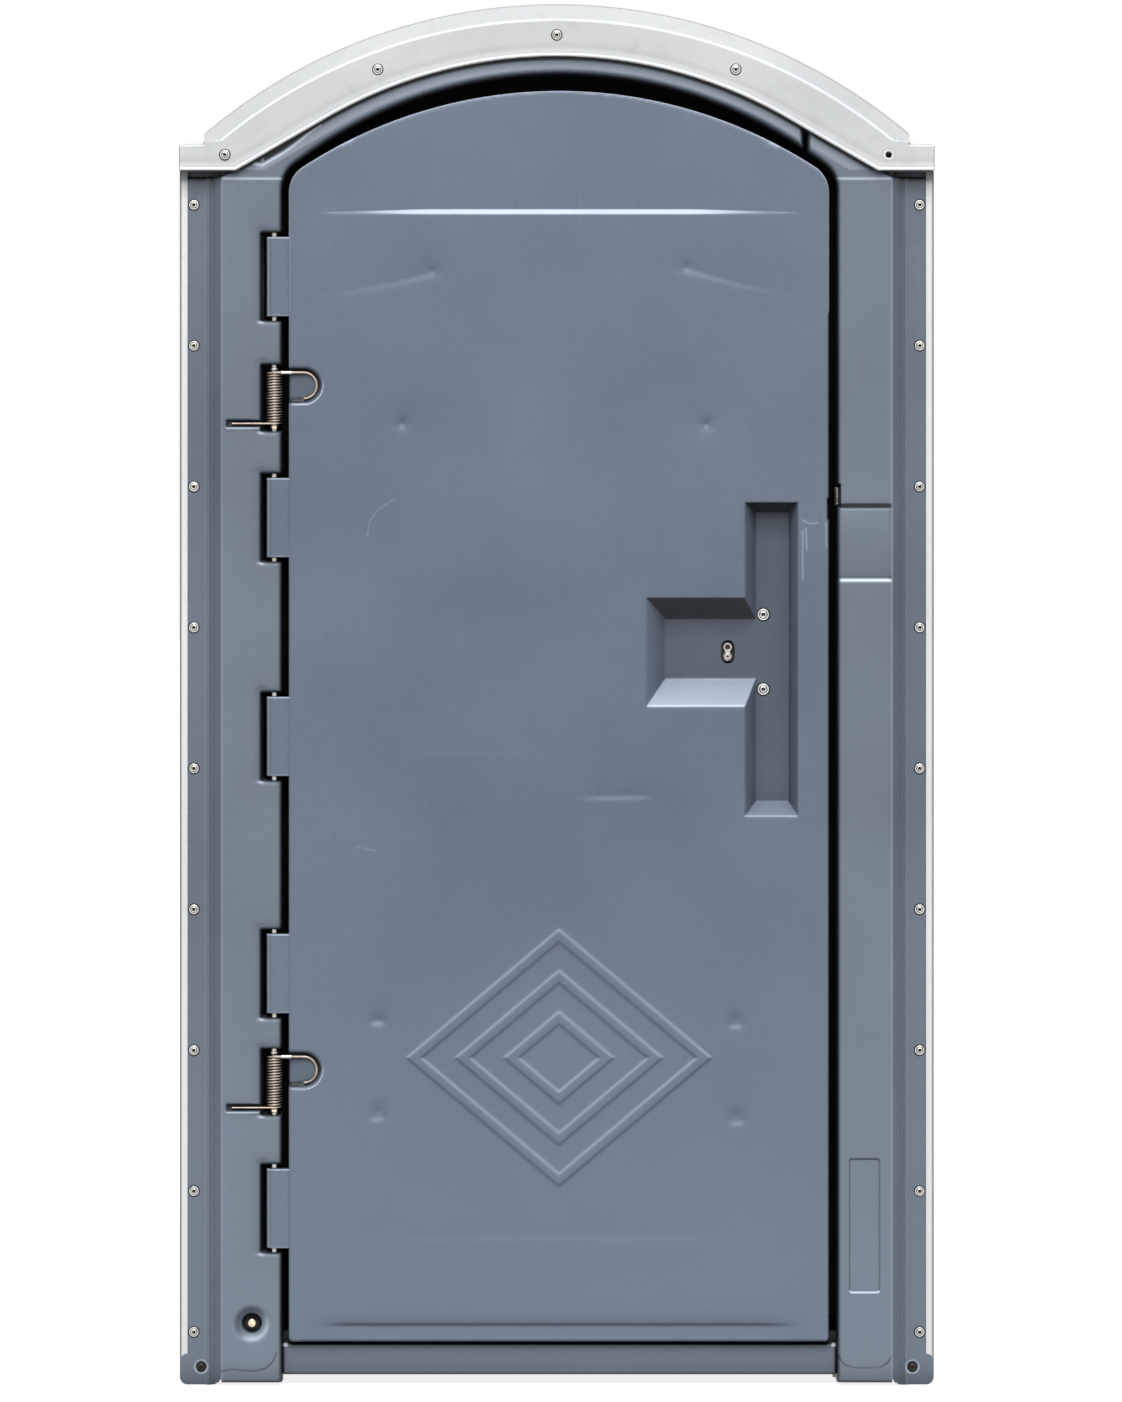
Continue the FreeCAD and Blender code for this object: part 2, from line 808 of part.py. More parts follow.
def hinge_side_frame():
    """Left post and header in one moulding, notched for the door's knuckles and the springs."""
    left = post(-1, -S.opening_left, jamb_out_left, S.hinge_bar)
    shape = left.fuse(header()).fuse(door_stop()).cut(seam_side(True))
    slot_end = pin_x - S.jamb_arm - S.wire_wide * 2.5
    notch_in = pin_x - S.notch_left
    notch_back = pin_y + S.knuckle_radius + S.knuckle_web / 3
    tools = [block(notch_in, -S.opening_left + 1, front - 1, notch_back, z0, z1) for z0, z1 in hinge_spots()]
    for low in (S.coil_low_upper, S.coil_low_lower):
        boss = block(slot_end - 5, notch_in, front + 1, front + S.hook_deep + 5, low - 14, low + 14)
        shape = shape.fuse(boss)
        slot = block(slot_end, notch_in + 1, front - 1, front + S.hook_deep, low - S.arm_slot / 2, low + S.arm_slot / 2)
        tools.append(slot)
    dish_at = at(-S.dish_across, front, S.dish_up)
    wide, deep, hole = float(S.dish_wide) / 2, float(S.dish_deep), float(S.dish_hole) / 2
    boss = cylinder(dish_at, at(0, deep * 3, 0), wide + 5)
    shape = shape.fuse(boss)
    tools.append(Part.makeCone(wide, wide * 0.62, deep, dish_at, at(0, 1, 0)))
    tools.append(cylinder(dish_at, at(0, deep * 2, 0), hole))
    bore = float(S.rod_wide) / 2 + float(S.running_fit)
    rod_long = S.rod_high - S.rod_low
    tools.append(cylinder(at(pin_x, pin_y, S.rod_low - 1), at(0, 0, rod_long + 2), bore))
    for tool in tools:
        shape = shape.cut(tool)
    return moulded("hinge_side_frame", shape)


def latch_side_post():
    """Right post with its end of the header, the finger panel and two shallow recesses."""
    right = post(1, S.opening_right, jamb_out_right, S.frame_skin)
    shape = right.fuse(header()).fuse(door_stop()).cut(seam_side(False))
    edge, out = S.opening_right, jamb_out_right
    backing = block(edge, out, front + 1, front + S.panel_deep + 5, S.panel_low - 10, S.panel_high + 10)
    shape = shape.fuse(backing)
    slope = S.panel_slope
    tools = [
        dished(edge - 10, out + 2, S.panel_low, S.panel_high, (0, slope, slope, slope), front - 0.01, front + S.panel_deep),
        block(edge - 1, edge + S.staple_slot, front - 1, pin_y, S.staple_low, S.staple_high),
        dished(
            edge + S.plate_in, edge + S.plate_in + S.plate_wide, S.plate_low, S.plate_high,
            (0.5, 0.5, 0.5, 0.5), front - 0.01, front + S.plate_deep,
        ),
    ]
    for tool in tools:
        shape = shape.cut(tool)
    return moulded("latch_side_post", shape)


# Rivets


def rivet_heights():
    step = (S.rivet_last - S.rivet_first) / (S.rivet_count - 1)
    return [S.rivet_first + step * i for i in range(int(float(S.rivet_count)))]


def rivet(x, y, z):
    """The wide head of a pop rivet, seated on a face that looks to the front."""
    sides = int(float(S.rivet_sides))
    turns = [2 * math.pi * i / sides for i in range(sides)]
    radius = float(S.rivet_wide) / 2
    rim = [(float(x) + radius * math.cos(a), float(z) + radius * math.sin(a)) for a in turns]
    return polygon(rim, y - S.rivet_tall, y)


def rivet_group(name, spots):
    """Rivets that share one node, each a solid of its own."""
    x, y, z = spots[0]
    group = doc.addObject("Part::Feature", name)
    group.Shape = Part.makeCompound([rivet(a - x, b - y, c - z) for a, b, c in spots])
    put(group, x, y, z)
    keep(group, name)


def over_bead(turn):
    """A spot on the line of the roof's front rivets, turned from the crown by degrees."""
    radius = S.bead_radius + S.rivet_over
    sine, cosine = math.sin(math.radians(turn)), math.cos(math.radians(turn))
    return radius * sine, bead_middle + radius * cosine


def ear_spot(side):
    return side * (wall_out - S.ear_rivet_in), S.eave_low + S.ear_rivet_up


def rivets():
    x = wall_out - S.rivet_in
    for name, side in (("left_frame_rivets", -1), ("right_frame_rivets", 1)):
        rivet_group(name, [(side * x, flange, z) for z in rivet_heights()])
    face = S.bead_proud - S.cabin_deep / 2
    places = [ear_spot(-1)] + [over_bead(turn) for turn in (-21.8, 0, 21.8)]
    rivet_group("roof_rivets", [(x, face, z) for x, z in places])
    spread = S.handle_rivet_spread
    places = [latch_up + spread, latch_up - spread]
    rivet_group("handle_rivets", [(S.handle_rivet_across, grip_floor, z) for z in places])


# Walls and corner trims


def side_walls():
    """Twin-sheet panels with recessed fields outside and two banks of vent slots."""
    for name, side in (("left_wall", -1), ("right_wall", 1)):
        inner = side * wall_in if side > 0 else side * wall_out
        wall = body(name, inner, wall_front, S.wall_low)
        plate = sketch_on(wall, "YZ")
        deep = wall_back - wall_front
        tall = S.wall_high - S.wall_low
        box_outline(plate, 0, deep, 0, tall)
        feature(wall, "Pad", plate, Length=S.wall_thick)
        outer = S.wall_thick if side > 0 else 0
        field = sketch_on(wall, "YZ", outer)
        low, high = S.panel_bottom - S.wall_low, S.panel_top - S.wall_low
        box_outline(field, S.panel_in, S.panel_in + S.panel_wide, low, high)
        step = feature(wall, "Pocket", field, back=side < 0, Length=S.panel_relief)
        repeated(wall, step, "H_Axis", S.panel_wide + S.panel_gap, 3)
        slots = sketch_on(wall, "YZ")
        for base in (S.vent_up, S.vent_down):
            for level in range(3):
                z = base - S.wall_low + S.vent_step * level
                box_outline(slots, S.panel_in, S.panel_in + S.vent_wide, z, z + S.vent_high)
        step = feature(wall, "Pocket", slots, back=True, Length=S.wall_thick)
        repeated(wall, step, "H_Axis", S.vent_wide * 1.6, 6)


def back_wall():
    """The rear panel, its head arched to the roof."""
    half = wall_in - S.loose_fit
    drop = S.crease_drop + S.roof_skin * 3
    y0, y1 = back_wall_front, wall_back
    shape = arched(-half, half, S.wall_low, S.cabin_tall - drop, S.dome_radius - drop, 0, y0, y1)
    step = S.panel_wide + S.panel_gap
    for i in (-1, 0, 1):
        x = step * i - S.panel_wide / 2
        shape = shape.cut(block(x, x + S.panel_wide, y1 - S.panel_relief, y1 + 1, S.panel_bottom, S.panel_top))
        for level in range(3):
            z = S.vent_up + S.vent_step * level
            shape = shape.cut(block(x + 40, x + S.panel_wide - 40, y0 - 1, y1 + 1, z, z + S.vent_high))
    moulded("back_wall", shape)


def corner_trims():
    """White channels that cap the four upright corners."""
    skin = S.trim_skin
    depth = S.wall_inset - S.loose_fit
    for end, back in (("front", 1), ("rear", -1)):
        for name, side in ((f"{end}_left_trim", -1), (f"{end}_right_trim", 1)):
            start = flange if back > 0 else wall_back
            trim = body(name, side * (wall_out + S.loose_fit), start, S.trim_low)
            drawing = sketch_on(trim, "XY")
            leg = back * S.trim_leg
            corners = [(0, 0), (side * depth, 0), (side * depth, leg), (0, leg), (0, leg - back * skin)]
            corners += [(side * (depth - skin), leg - back * skin), (side * (depth - skin), back * skin), (0, back * skin)]
            outline(drawing, corners)
            feature(trim, "Pad", drawing, Length=S.eave_low - S.trim_low)


# Roof


def dome(radius, y0, y1, inset=0):
    """The vault and its upright sides down to the eaves, as a full solid."""
    half = S.cabin_wide / 2 - S.eave_wide - inset
    rise = math.sqrt(float(radius) ** 2 - float(half) ** 2)
    top = (half, float(dome_middle) + rise)
    low = S.eave_low - 1
    edges = [
        arc((-top[0], top[1]), (0, float(dome_middle) + float(radius)), top),
        line(top, (half, low)),
        line((half, low), (-half, low)),
        line((-half, low), (-top[0], top[1])),
    ]
    return along_y(edges, y0, y1)


def roof():
    """A vaulted translucent shell with bevelled ends, closed ears and a bead over the door."""
    half_deep = S.cabin_deep / 2 - S.bead_proud
    skin, wall = float(S.roof_skin), float(S.roof_wall)
    bevel = S.crease_drop
    eave_x = S.cabin_wide / 2
    eave_high = S.eave_low + S.eave_tall

    def full(inset, ends):
        y = half_deep - ends
        middle = dome(S.dome_radius - inset, -y + bevel, y - bevel, inset)
        small = S.dome_radius - bevel - inset
        shape = middle
        for side in (-1, 1):
            half = S.cabin_wide / 2 - S.eave_wide - inset
            outer = dome(S.dome_radius - inset, 0, 1, inset).Faces
            cap = dome(small, 0, 1, inset)
            near = max((f for f in outer if abs(f.normalAt(0, 0).y) > 0.9), key=lambda f: -f.CenterOfMass.y)
            far = max((f for f in cap.Faces if abs(f.normalAt(0, 0).y) > 0.9), key=lambda f: -f.CenterOfMass.y)
            a, b = near.OuterWire.copy(), far.OuterWire.copy()
            a.translate(at(0, side * (y - bevel), 0))
            b.translate(at(0, side * y, 0))
            shape = shape.fuse(Part.makeLoft([a, b], True, True))
        eaves = block(
            -eave_x + inset, eave_x - inset, -half_deep + ends, half_deep - ends,
            S.eave_low - (1 if inset else 0), eave_high - inset,
        )
        low_trim = block(-eave_x, eave_x, -half_deep, half_deep, S.eave_low - 2, S.eave_low)
        shape = shape.fuse(eaves)
        return shape if inset else shape.cut(low_trim)

    shell = full(0, 0).cut(full(skin, wall))
    cut_from, cut_to = -S.cabin_deep / 2 - 1, S.cabin_deep / 2 + 1
    tall, proud = S.bead_tall, S.bead_proud
    foot = S.eave_low
    for y0, y1 in ((-S.cabin_deep / 2, -half_deep + 1), (half_deep - 1, S.cabin_deep / 2)):
        ears = block(-eave_x, eave_x, y0, y1, foot, foot + tall)
        bead = under_bead(tall, foot + tall, y0, y1).fuse(ears)
        bead = bead.cut(block(-eave_x, eave_x, y0, y1, 0, foot))
        shell = shell.fuse(bead)
    shell = shell.cut(under_bead(0, foot, cut_from, cut_to))
    pipe = cylinder(at(S.vent_across, S.vent_back, S.eave_low), at(0, 0, S.eave_tall * 10), S.vent_pipe_wide / 2 + 1)
    x, z = ear_spot(1)
    lost = cylinder(at(x, cut_from, z), at(0, S.roof_wall * 2, 0), S.lost_rivet / 2)
    for hole in (pipe, lost):
        shell = shell.cut(hole)
    return moulded("roof", shell)


# Door


def leaf(inset, y0, y1):
    """A panel with the door's arched outline, drawn in by inset."""
    return arched(
        leaf_left + inset, leaf_right - inset, S.door_low + inset, S.door_crown - inset,
        S.door_radius - inset, leaf_middle, y0, y1, S.door_shoulder - inset, max(float(S.door_corner) - float(inset), 1),
    )


def handle_recess(y0, y1, radius, grow=0):
    """The T-shaped hand recess: an upright channel crossed by a grip pocket."""
    slope, grip = S.channel_slope, S.grip_slope
    right = S.channel_left + S.channel_wide
    channel = dished(
        S.channel_left, right, S.channel_low, S.channel_low + S.channel_tall,
        (slope, slope, slope, slope), y0, y1, radius, grow,
    )
    pocket = dished(
        S.grip_left, S.channel_left + S.channel_wide / 2, S.grip_low, S.grip_low + S.grip_tall,
        (grip, 0, grip, grip), y0, y1, radius, grow,
    )
    return channel.fuse(pocket)


def hook_pocket(low, grow, y0, y1):
    """The P-shaped pocket for a spring's hook, open at the door's edge."""
    top = low + coil_tall
    x = float(pin_x + S.door_arm)
    z = float(top - S.hook_radius)
    radius = float(S.hook_pocket) + grow
    edge = float(leaf_left) - 1 + (0 if grow == 0 else 2)
    edges = [
        line((edge, z + radius), (x, z + radius)),
        arc((x, z + radius), (x + radius, z), (x, z - radius)),
        line((x, z - radius), (edge, z - radius)),
        line((edge, z - radius), (edge, z + radius)),
    ]
    return along_y(edges, y0, y1)


def lozenge(scale, y0, y1, trim=0):
    """A lying lozenge, for the raised pattern on the lower door."""
    x = float(leaf_middle)
    half_x = float(S.lozenge_wide) / 2 * scale - trim
    half_z = float(S.lozenge_tall) / 2 * scale - trim
    up = float(S.lozenge_up)
    return polygon([(x - half_x, up), (x, up - half_z), (x + half_x, up), (x, up + half_z)], y0, y1)


def door_skin():
    """The door's outer moulding: a tray with knuckles, hand recess, hook pockets and a raised field."""
    skin = S.door_skin
    edge = S.door_return
    face = front - S.field_proud
    shape = leaf(0, front, door_back).cut(leaf(edge, front + skin, door_back + 1))
    inset = edge / 2
    field = dished(
        leaf_left + inset, leaf_right - inset, S.field_low - inset, S.field_high + S.frame_round,
        (S.field_side, S.field_side, inset, S.frame_round), front + 0.01, face,
    )
    shape = shape.fuse(field)
    for scale in (1, 0.68, 0.36):
        shape = shape.fuse(lozenge(scale, face - S.lozenge_proud, front).cut(
            lozenge(scale, face - S.lozenge_proud - 1, front + 1, float(S.lozenge_band))))
    recess_mouth = face - 1
    for low in (S.coil_low_upper, S.coil_low_lower):
        shape = shape.fuse(hook_pocket(low, 4, front + 1, front + S.hook_deep + skin))
    for middle in knuckles:
        low, high = middle - S.knuckle_tall / 2, middle + S.knuckle_tall / 2
        barrel = cylinder(at(pin_x, pin_y, low), at(0, 0, high - low), S.knuckle_radius)
        web = block(pin_x, leaf_left + edge / 2, pin_y - S.knuckle_radius, pin_y + S.knuckle_web, low, high)
        shape = shape.fuse(barrel).fuse(web)
    tools = [handle_recess(front, grip_floor, S.grip_corner), handle_mouth(recess_mouth)]
    tools += [hook_pocket(low, 0, recess_mouth, front + S.hook_deep) for low in (S.coil_low_upper, S.coil_low_lower)]
    bore = float(S.rod_wide) / 2 + float(S.running_fit)
    tools.append(cylinder(at(pin_x, pin_y, 0), at(0, 0, S.door_crown), bore))
    notch_high = S.edge_notch_low + S.edge_notch_tall
    tools.append(block(leaf_right - 3, leaf_right + 1, recess_mouth, pin_y, S.edge_notch_low, notch_high))
    for tool in tools:
        shape = shape.cut(tool)
    return moulded("door_skin", shape)


def hand_recess():
    """The cup behind the skin's T-shaped mouth, with the window to the latch in its floor."""
    skin = S.door_skin
    shape = handle_recess(front + skin, grip_floor + skin, 0, skin + 1)
    shape = shape.cut(handle_recess(front, grip_floor, S.grip_corner))
    shape = shape.cut(stadium(S.window_across, latch_up, S.window_wide, S.window_tall, front, door_back + 5))
    moulded("hand_recess", shape)


def handle_mouth(y0):
    """The straight mouth of the hand recess through the raised field."""
    right = S.channel_left + S.channel_wide
    channel = rectangle(S.channel_left, right, S.channel_low, S.channel_low + S.channel_tall, S.grip_corner, y0)
    pocket = rectangle(
        S.grip_left, S.channel_left + S.channel_wide / 2, S.grip_low, S.grip_low + S.grip_tall, S.grip_corner, y0
    )
    depth = at(0, front - y0 + 0.01, 0)
    return Part.Face(channel).extrude(depth).fuse(Part.Face(pocket).extrude(depth))


def door_inner_panel():
    """The flat inner sheet with stiffening ribs, let into the back of the tray."""
    gap = S.door_return + S.loose_fit / 2
    y0 = door_back - S.inner_panel
    shape = leaf(gap, y0, door_back)
    half = S.door_wide * 0.36
    lift = (S.door_crown - S.door_low) / S.rib_rows
    for row in (0.6, 1.6, 3.7):
        z = S.door_low + lift * row
        rib = block(leaf_middle - half, leaf_middle + half, y0 + 1, door_back + S.inner_rib, z, z + S.rib_tall)
        shape = shape.fuse(rib)
    shape = shape.cut(stadium(S.window_across, latch_up, S.window_wide, S.window_tall, y0 - 1, door_back + 1))
    moulded("door_inner_panel", shape)


# Hinge rod and springs


def hinge_rod():
    rod = body("hinge_rod", pin_x, pin_y, S.rod_low)
    drawing = sketch_on(rod, "XY")
    circle(drawing, 0, 0, S.rod_wide / 2)
    feature(rod, "Pad", drawing, Length=S.rod_high - S.rod_low)


def bend(start, heading, end):
    """The arc that leaves start along heading and reaches end, and its last direction."""
    chord = end - start
    side = chord - heading * (chord.dot(heading))
    radius = chord.Length ** 2 / (2 * side.Length)
    centre = start + side.normalize() * radius
    middle = start + chord * 0.5 - centre
    middle = centre + middle.normalize() * radius
    out = chord * (2 * chord.dot(heading) / chord.Length ** 2) - heading
    return Part.Arc(start, middle, end).toShape(), out.normalize()


def biarc(start, heading, end, out):
    """Two arcs that join two points with the given directions."""
    chord = end - start
    total = heading + out
    a = 2 * (heading.dot(out) - 1)
    b = -2 * chord.dot(total)
    c = chord.dot(chord)
    reach = (-b - math.sqrt(b * b - 4 * a * c)) / (2 * a) if abs(a) > 1e-9 else -c / b
    joint = (start + heading * reach + end - out * reach) * 0.5
    first, turn = bend(start, heading, joint)
    second, _ = bend(joint, turn, end)
    return [first, second]


def spring_path():
    """Centre line of a hinge spring: jamb arm, coil, door arm and its hook."""
    radius = float(S.coil_radius)
    pitch = float(S.coil_pitch)
    turns = int(float(S.coil_turns))
    spans = turns * 2
    climb = math.atan2(pitch, 2 * math.pi * radius)

    def spot(angle):
        rise = pitch * angle / (2 * math.pi)
        return FreeCAD.Vector(radius * math.sin(angle), -radius * math.cos(angle), rise)

    def heading(angle):
        flat = 1.0 if 0.001 < angle < 2 * math.pi * turns - 0.001 else 0.0
        tilt = climb * flat
        level = FreeCAD.Vector(math.cos(angle), math.sin(angle), 0) * math.cos(tilt)
        return level + FreeCAD.Vector(0, 0, math.sin(tilt))

    edges = [Part.LineSegment(FreeCAD.Vector(-float(S.jamb_arm), -radius, 0), spot(0)).toShape()]
    for i in range(spans):
        a, b = math.pi * i, math.pi * (i + 1)
        edges += biarc(spot(a), heading(a), spot(b), heading(b))
    top = spot(math.pi * spans)
    bend_at = top + FreeCAD.Vector(float(S.door_arm), 0, 0)
    hook = float(S.hook_radius)
    edges.append(Part.LineSegment(top, bend_at).toShape())
    side = bend_at + FreeCAD.Vector(hook, 0, -hook)
    foot = bend_at + FreeCAD.Vector(0, 0, -2 * hook)
    edges.append(Part.Arc(bend_at, side, foot).toShape())
    return Part.Wire(edges)


def least_gap(path, wire):
    """The least space between turns of a wire, measured on points along its centre line."""
    points = path.discretize(Distance=1.2)
    reach = [0.0]
    for a, b in zip(points, points[1:]):
        reach.append(reach[-1] + (b - a).Length)
    away = 4 * wire
    least = math.inf
    for i, p in enumerate(points):
        for j in range(i + 1, len(points)):
            if reach[j] - reach[i] > away:
                least = min(least, (points[j] - p).Length)
    return least - wire


def hinge_springs():
    """Torsion springs round the hinge rod that swing the door shut, their wire four-sided."""
    wire = float(S.wire_wide)
    coils = []
    for low in (S.coil_low_upper, S.coil_low_lower):
        path = spring_path()
        start = path.Vertexes[0].Point
        turns = [math.pi / 4 + math.pi / 2 * i for i in range(5)]
        ring = [start + FreeCAD.Vector(0, math.cos(a), math.sin(a)) * (wire * 0.62) for a in turns]
        coil = path.makePipeShell([Part.makePolygon(ring)], True, False)
        print("least gap between turns", round(least_gap(path, wire), 2))
        coil.translate(at(0, 0, low - S.coil_low_lower))
        coils.append(coil)
    group = doc.addObject("Part::Feature", "hinge_springs")
    group.Shape = Part.makeCompound(coils)
    put(group, pin_x, pin_y, S.coil_low_lower)
    keep(group, "hinge_springs")


# Latch


def latch():
    """Slide bolt behind the hand recess, with its housing, link, knob and strike."""
    flange_low = latch_up - S.housing_flange / 2
    half = S.bolt_tall / 2
    wall = S.housing_wall
    y0, y1 = door_back, door_back + S.housing_deep
    long = S.housing_right - S.housing_left
    cave = half + S.slide_gap
    case = block(0, long, 0, wall, -S.housing_flange / 2, S.housing_flange / 2)
    shell = block(0, long, 0, S.housing_deep, -cave - wall * 2, cave + wall * 2)
    case = case.fuse(shell).cut(block(wall, long + 1, -1, S.housing_deep - wall, -cave, cave))
    stem = S.slider_right - S.housing_left
    slack = S.knob_stem / 2 + S.slide_gap
    case = case.cut(block(stem - slack, stem + S.bolt_travel + slack, wall, S.housing_deep + 1, -slack, slack))
    moulded("latch_housing", case, S.housing_left, y0, latch_up)

    back = S.housing_deep - wall - S.slide_gap
    nose = back - S.bolt_thick
    bolt = body("latch_bolt", S.slider_left, y0, latch_up - half)
    plan = sketch_on(bolt, "XY")
    tip, joint = S.bolt_tip - S.slider_left, S.slider_right - S.slider_left
    slider_front = nose - S.bolt_thick / 2
    chamfer = S.bolt_thick * 0.4
    outline(plan, [
        (0, slider_front), (joint, slider_front), (joint, nose), (tip - chamfer, nose),
        (tip, nose + chamfer), (tip, back), (0, back),
    ])
    feature(bolt, "Pad", plan, Length=S.bolt_tall)

    link_y = slider_front - S.link_thick
    link = stadium(0, 0, S.link_wide, S.bolt_tall, link_y, slider_front)
    eye = cylinder(at(0, link_y - 1.8, 7), at(0, 1.8, 0), 5.6).cut(cylinder(at(0, link_y - 3, 7), at(0, 4, 0), 3.2))
    stud = cylinder(at(0, link_y - 1.8, -7), at(0, 1.8, 0), 5.2)
    moulded("latch_link", link.fuse(eye).fuse(stud), S.window_across, y0, latch_up)

    knob = body("latch_knob", S.slider_right, y0, latch_up)
    profile = sketch_on(knob, "XY")
    stem_r, knob_r = S.knob_stem / 2, S.knob_wide / 2
    neck = back + S.knob_out - S.knob_stem / 2
    end = back + S.knob_out + S.knob_stem / 4
    outline(profile, [(0, back), (stem_r, back), (stem_r, neck), (knob_r, neck + 3), (knob_r, end - 3), (knob_r - 3, end), (0, end)])
    feature(knob, "Revolution", profile, Angle=360)

    strike = body("strike_plate", S.opening_right - S.loose_fit, frame_back, latch_up)
    face = sketch_on(strike, "XZ")
    wide = S.opening_right - leaf_right + S.stop_lap - S.loose_fit * 2
    box_outline(face, -wide, 0, -S.housing_flange / 4, S.housing_flange / 4)
    feature(strike, "Pad", face, back=True, Length=S.strike_thick)


def strap(profile, x0, x1):
    """A flat bar bent to a profile of Y and Z points, as wide as x0 to x1."""
    corners = [FreeCAD.Vector(float(x0), float(y), float(z)) for y, z in profile]
    return Part.Face(Part.makePolygon(corners + corners[:1])).extrude(FreeCAD.Vector(float(x1 - x0), 0, 0))


def door_fittings():
    """Inner pull and coat hook, both of bent flat bar."""
    thick, out, tall, turn = S.strap_thick, S.pull_out, S.pull_tall, S.pull_turn
    foot = S.pull_foot
    bar = strap([
        (0, -foot), (thick, -foot), (thick, 0), (out - turn, 0), (out, turn), (out, tall - turn),
        (out - turn, tall), (thick, tall), (thick, tall + foot), (0, tall + foot), (0, tall - thick),
        (out - turn - 1, tall - thick), (out - thick, tall - turn - 1), (out - thick, turn + 1),
        (out - turn - 1, thick), (0, thick),
    ], 0, S.pull_wide)
    moulded("inner_pull", bar, S.pull_across, door_back, S.pull_low)
    plate, reach, rise = S.hook_plate, S.coat_hook_out, S.coat_hook_rise
    hook = strap([
        (0, -plate), (thick, -plate), (thick, 0), (reach - thick, 0), (reach, thick), (reach, rise),
        (reach - thick, rise), (reach - thick, thick * 1.5), (reach - thick * 1.5, thick), (thick, thick),
        (thick, plate), (0, plate),
    ], 0, S.coat_hook_wide)
    moulded("coat_hook", hook, leaf_middle - S.coat_hook_wide / 2, door_back, S.coat_hook_up)


def lock_staple():
    """The steel eye in the latch post's edge for a padlock."""
    low, high = S.staple_low, S.staple_high
    tall = high - low
    wide = S.staple_slot + 4
    plate = block(0, wide, 0, 3, 4, tall - 4)
    eye = plate.cut(cylinder(at(wide / 2, -1, tall / 2), at(0, 6, 0), 2.6))
    moulded("lock_staple", eye, S.opening_right + S.staple_slot - wide, pin_y - 5, low)


def foot_screws():
    """Dark screws in the corner feet, and the brass bolt in the dish of the hinge post."""
    x = wall_out - S.foot_wide / 3
    z = S.foot_screw_up
    for name, side in (("left_foot_screw", -1), ("right_foot_screw", 1)):
        screw = body(name, side * x, flange - 1, z)
        drawing = sketch_on(screw, "XZ")
        circle(drawing, 0, 0, S.foot_screw / 2)
        feature(screw, "Pad", drawing, Length=2)
    deep = S.dish_deep * 2
    bolt = body("post_bolt", -S.dish_across, front + deep, S.dish_up)
    drawing = sketch_on(bolt, "XZ")
    corners = [(7.5 * math.cos(math.pi / 3 * i), 7.5 * math.sin(math.pi / 3 * i)) for i in range(6)]
    outline(drawing, corners)
    feature(bolt, "Pad", drawing, Length=5)


# Waste tank, seat and lid


def waste_tank():
    """The bench tank: a hollow moulding with a raking front and an opening under the seat."""
    half = float(wall_in - S.loose_fit)
    skin = float(S.tank_skin)
    low, high = float(S.floor_high) + 3, float(S.bench_up)
    back = float(back_wall_front - S.loose_fit)
    first, toe = float(S.bench_front), float(S.bench_toe)

    def bench(inset):
        points = [(first + toe + inset, low + inset), (back - inset, low + inset), (back - inset, high - inset),
                  (first + inset, high - inset)]
        corners = [FreeCAD.Vector(-half + inset, y, z) for y, z in points]
        face = Part.Face(Part.makePolygon(corners + corners[:1]))
        return face.extrude(FreeCAD.Vector(2 * (half - inset), 0, 0))

    outer = bench(0)
    lip = [e for e in outer.Edges if e.CenterOfMass.z > high - 1 and e.CenterOfMass.y < first + 1]
    outer = outer.makeFillet(25, lip)
    shape = outer.cut(bench(skin))
    opening = seat_outline(S.seat_open_wide, S.seat_open_long, high - skin - 1, high + 1)
    shape = shape.cut(opening)
    pipe = cylinder(at(S.vent_across, S.vent_back, high - skin - 1), at(0, 0, skin + 2), S.vent_pipe_wide / 2 - 5)
    drain = cylinder(at(drain_x(), first - 20, drain_end()), at(0, 80, 0), S.drain_wide / 2 + S.loose_fit)
    moulded("waste_tank", shape.cut(pipe).cut(drain))


def seat_outline(wide, long, z0, z1):
    """A seat's plan: round in front, square-shouldered at the back."""
    half = float(wide) / 2
    back = float(S.seat_hinge_y) - float(S.seat_back)
    middle = back - (float(S.seat_long) - float(long)) / 2
    front_y = middle - float(long) + half
    corner = half * 0.5
    points = [at(-half, front_y, z0), at(0, front_y - half, z0), at(half, front_y, z0)]
    edges = [Part.Arc(*points).toShape()]
    edges.append(Part.LineSegment(points[2], at(half, middle - corner, z0)).toShape())
    bite = corner * (1 - math.sqrt(0.5))
    edges.append(Part.Arc(at(half, middle - corner, z0), at(half - bite, middle - bite, z0),
                          at(half - corner, middle, z0)).toShape())
    edges.append(Part.LineSegment(at(half - corner, middle, z0), at(-half + corner, middle, z0)).toShape())
    edges.append(Part.Arc(at(-half + corner, middle, z0), at(-half + bite, middle - bite, z0),
                          at(-half, middle - corner, z0)).toShape())
    edges.append(Part.LineSegment(at(-half, middle - corner, z0), points[0]).toShape())
    return Part.Face(Part.Wire(edges)).extrude(at(0, 0, float(z1) - float(z0)))


def hinge_ear(x0, x1, radius, bore):
    """A knuckle about the seat's hinge line."""
    y, z = S.seat_hinge_y, S.bench_up + S.seat_hinge_up
    low = min(float(x0), float(x1))
    long = abs(float(x1) - float(x0))
    ear = cylinder(at(low, y, z), FreeCAD.Vector(long, 0, 0), radius)
    return ear, cylinder(at(low - 1, y, z), FreeCAD.Vector(long + 2, 0, 0), bore)


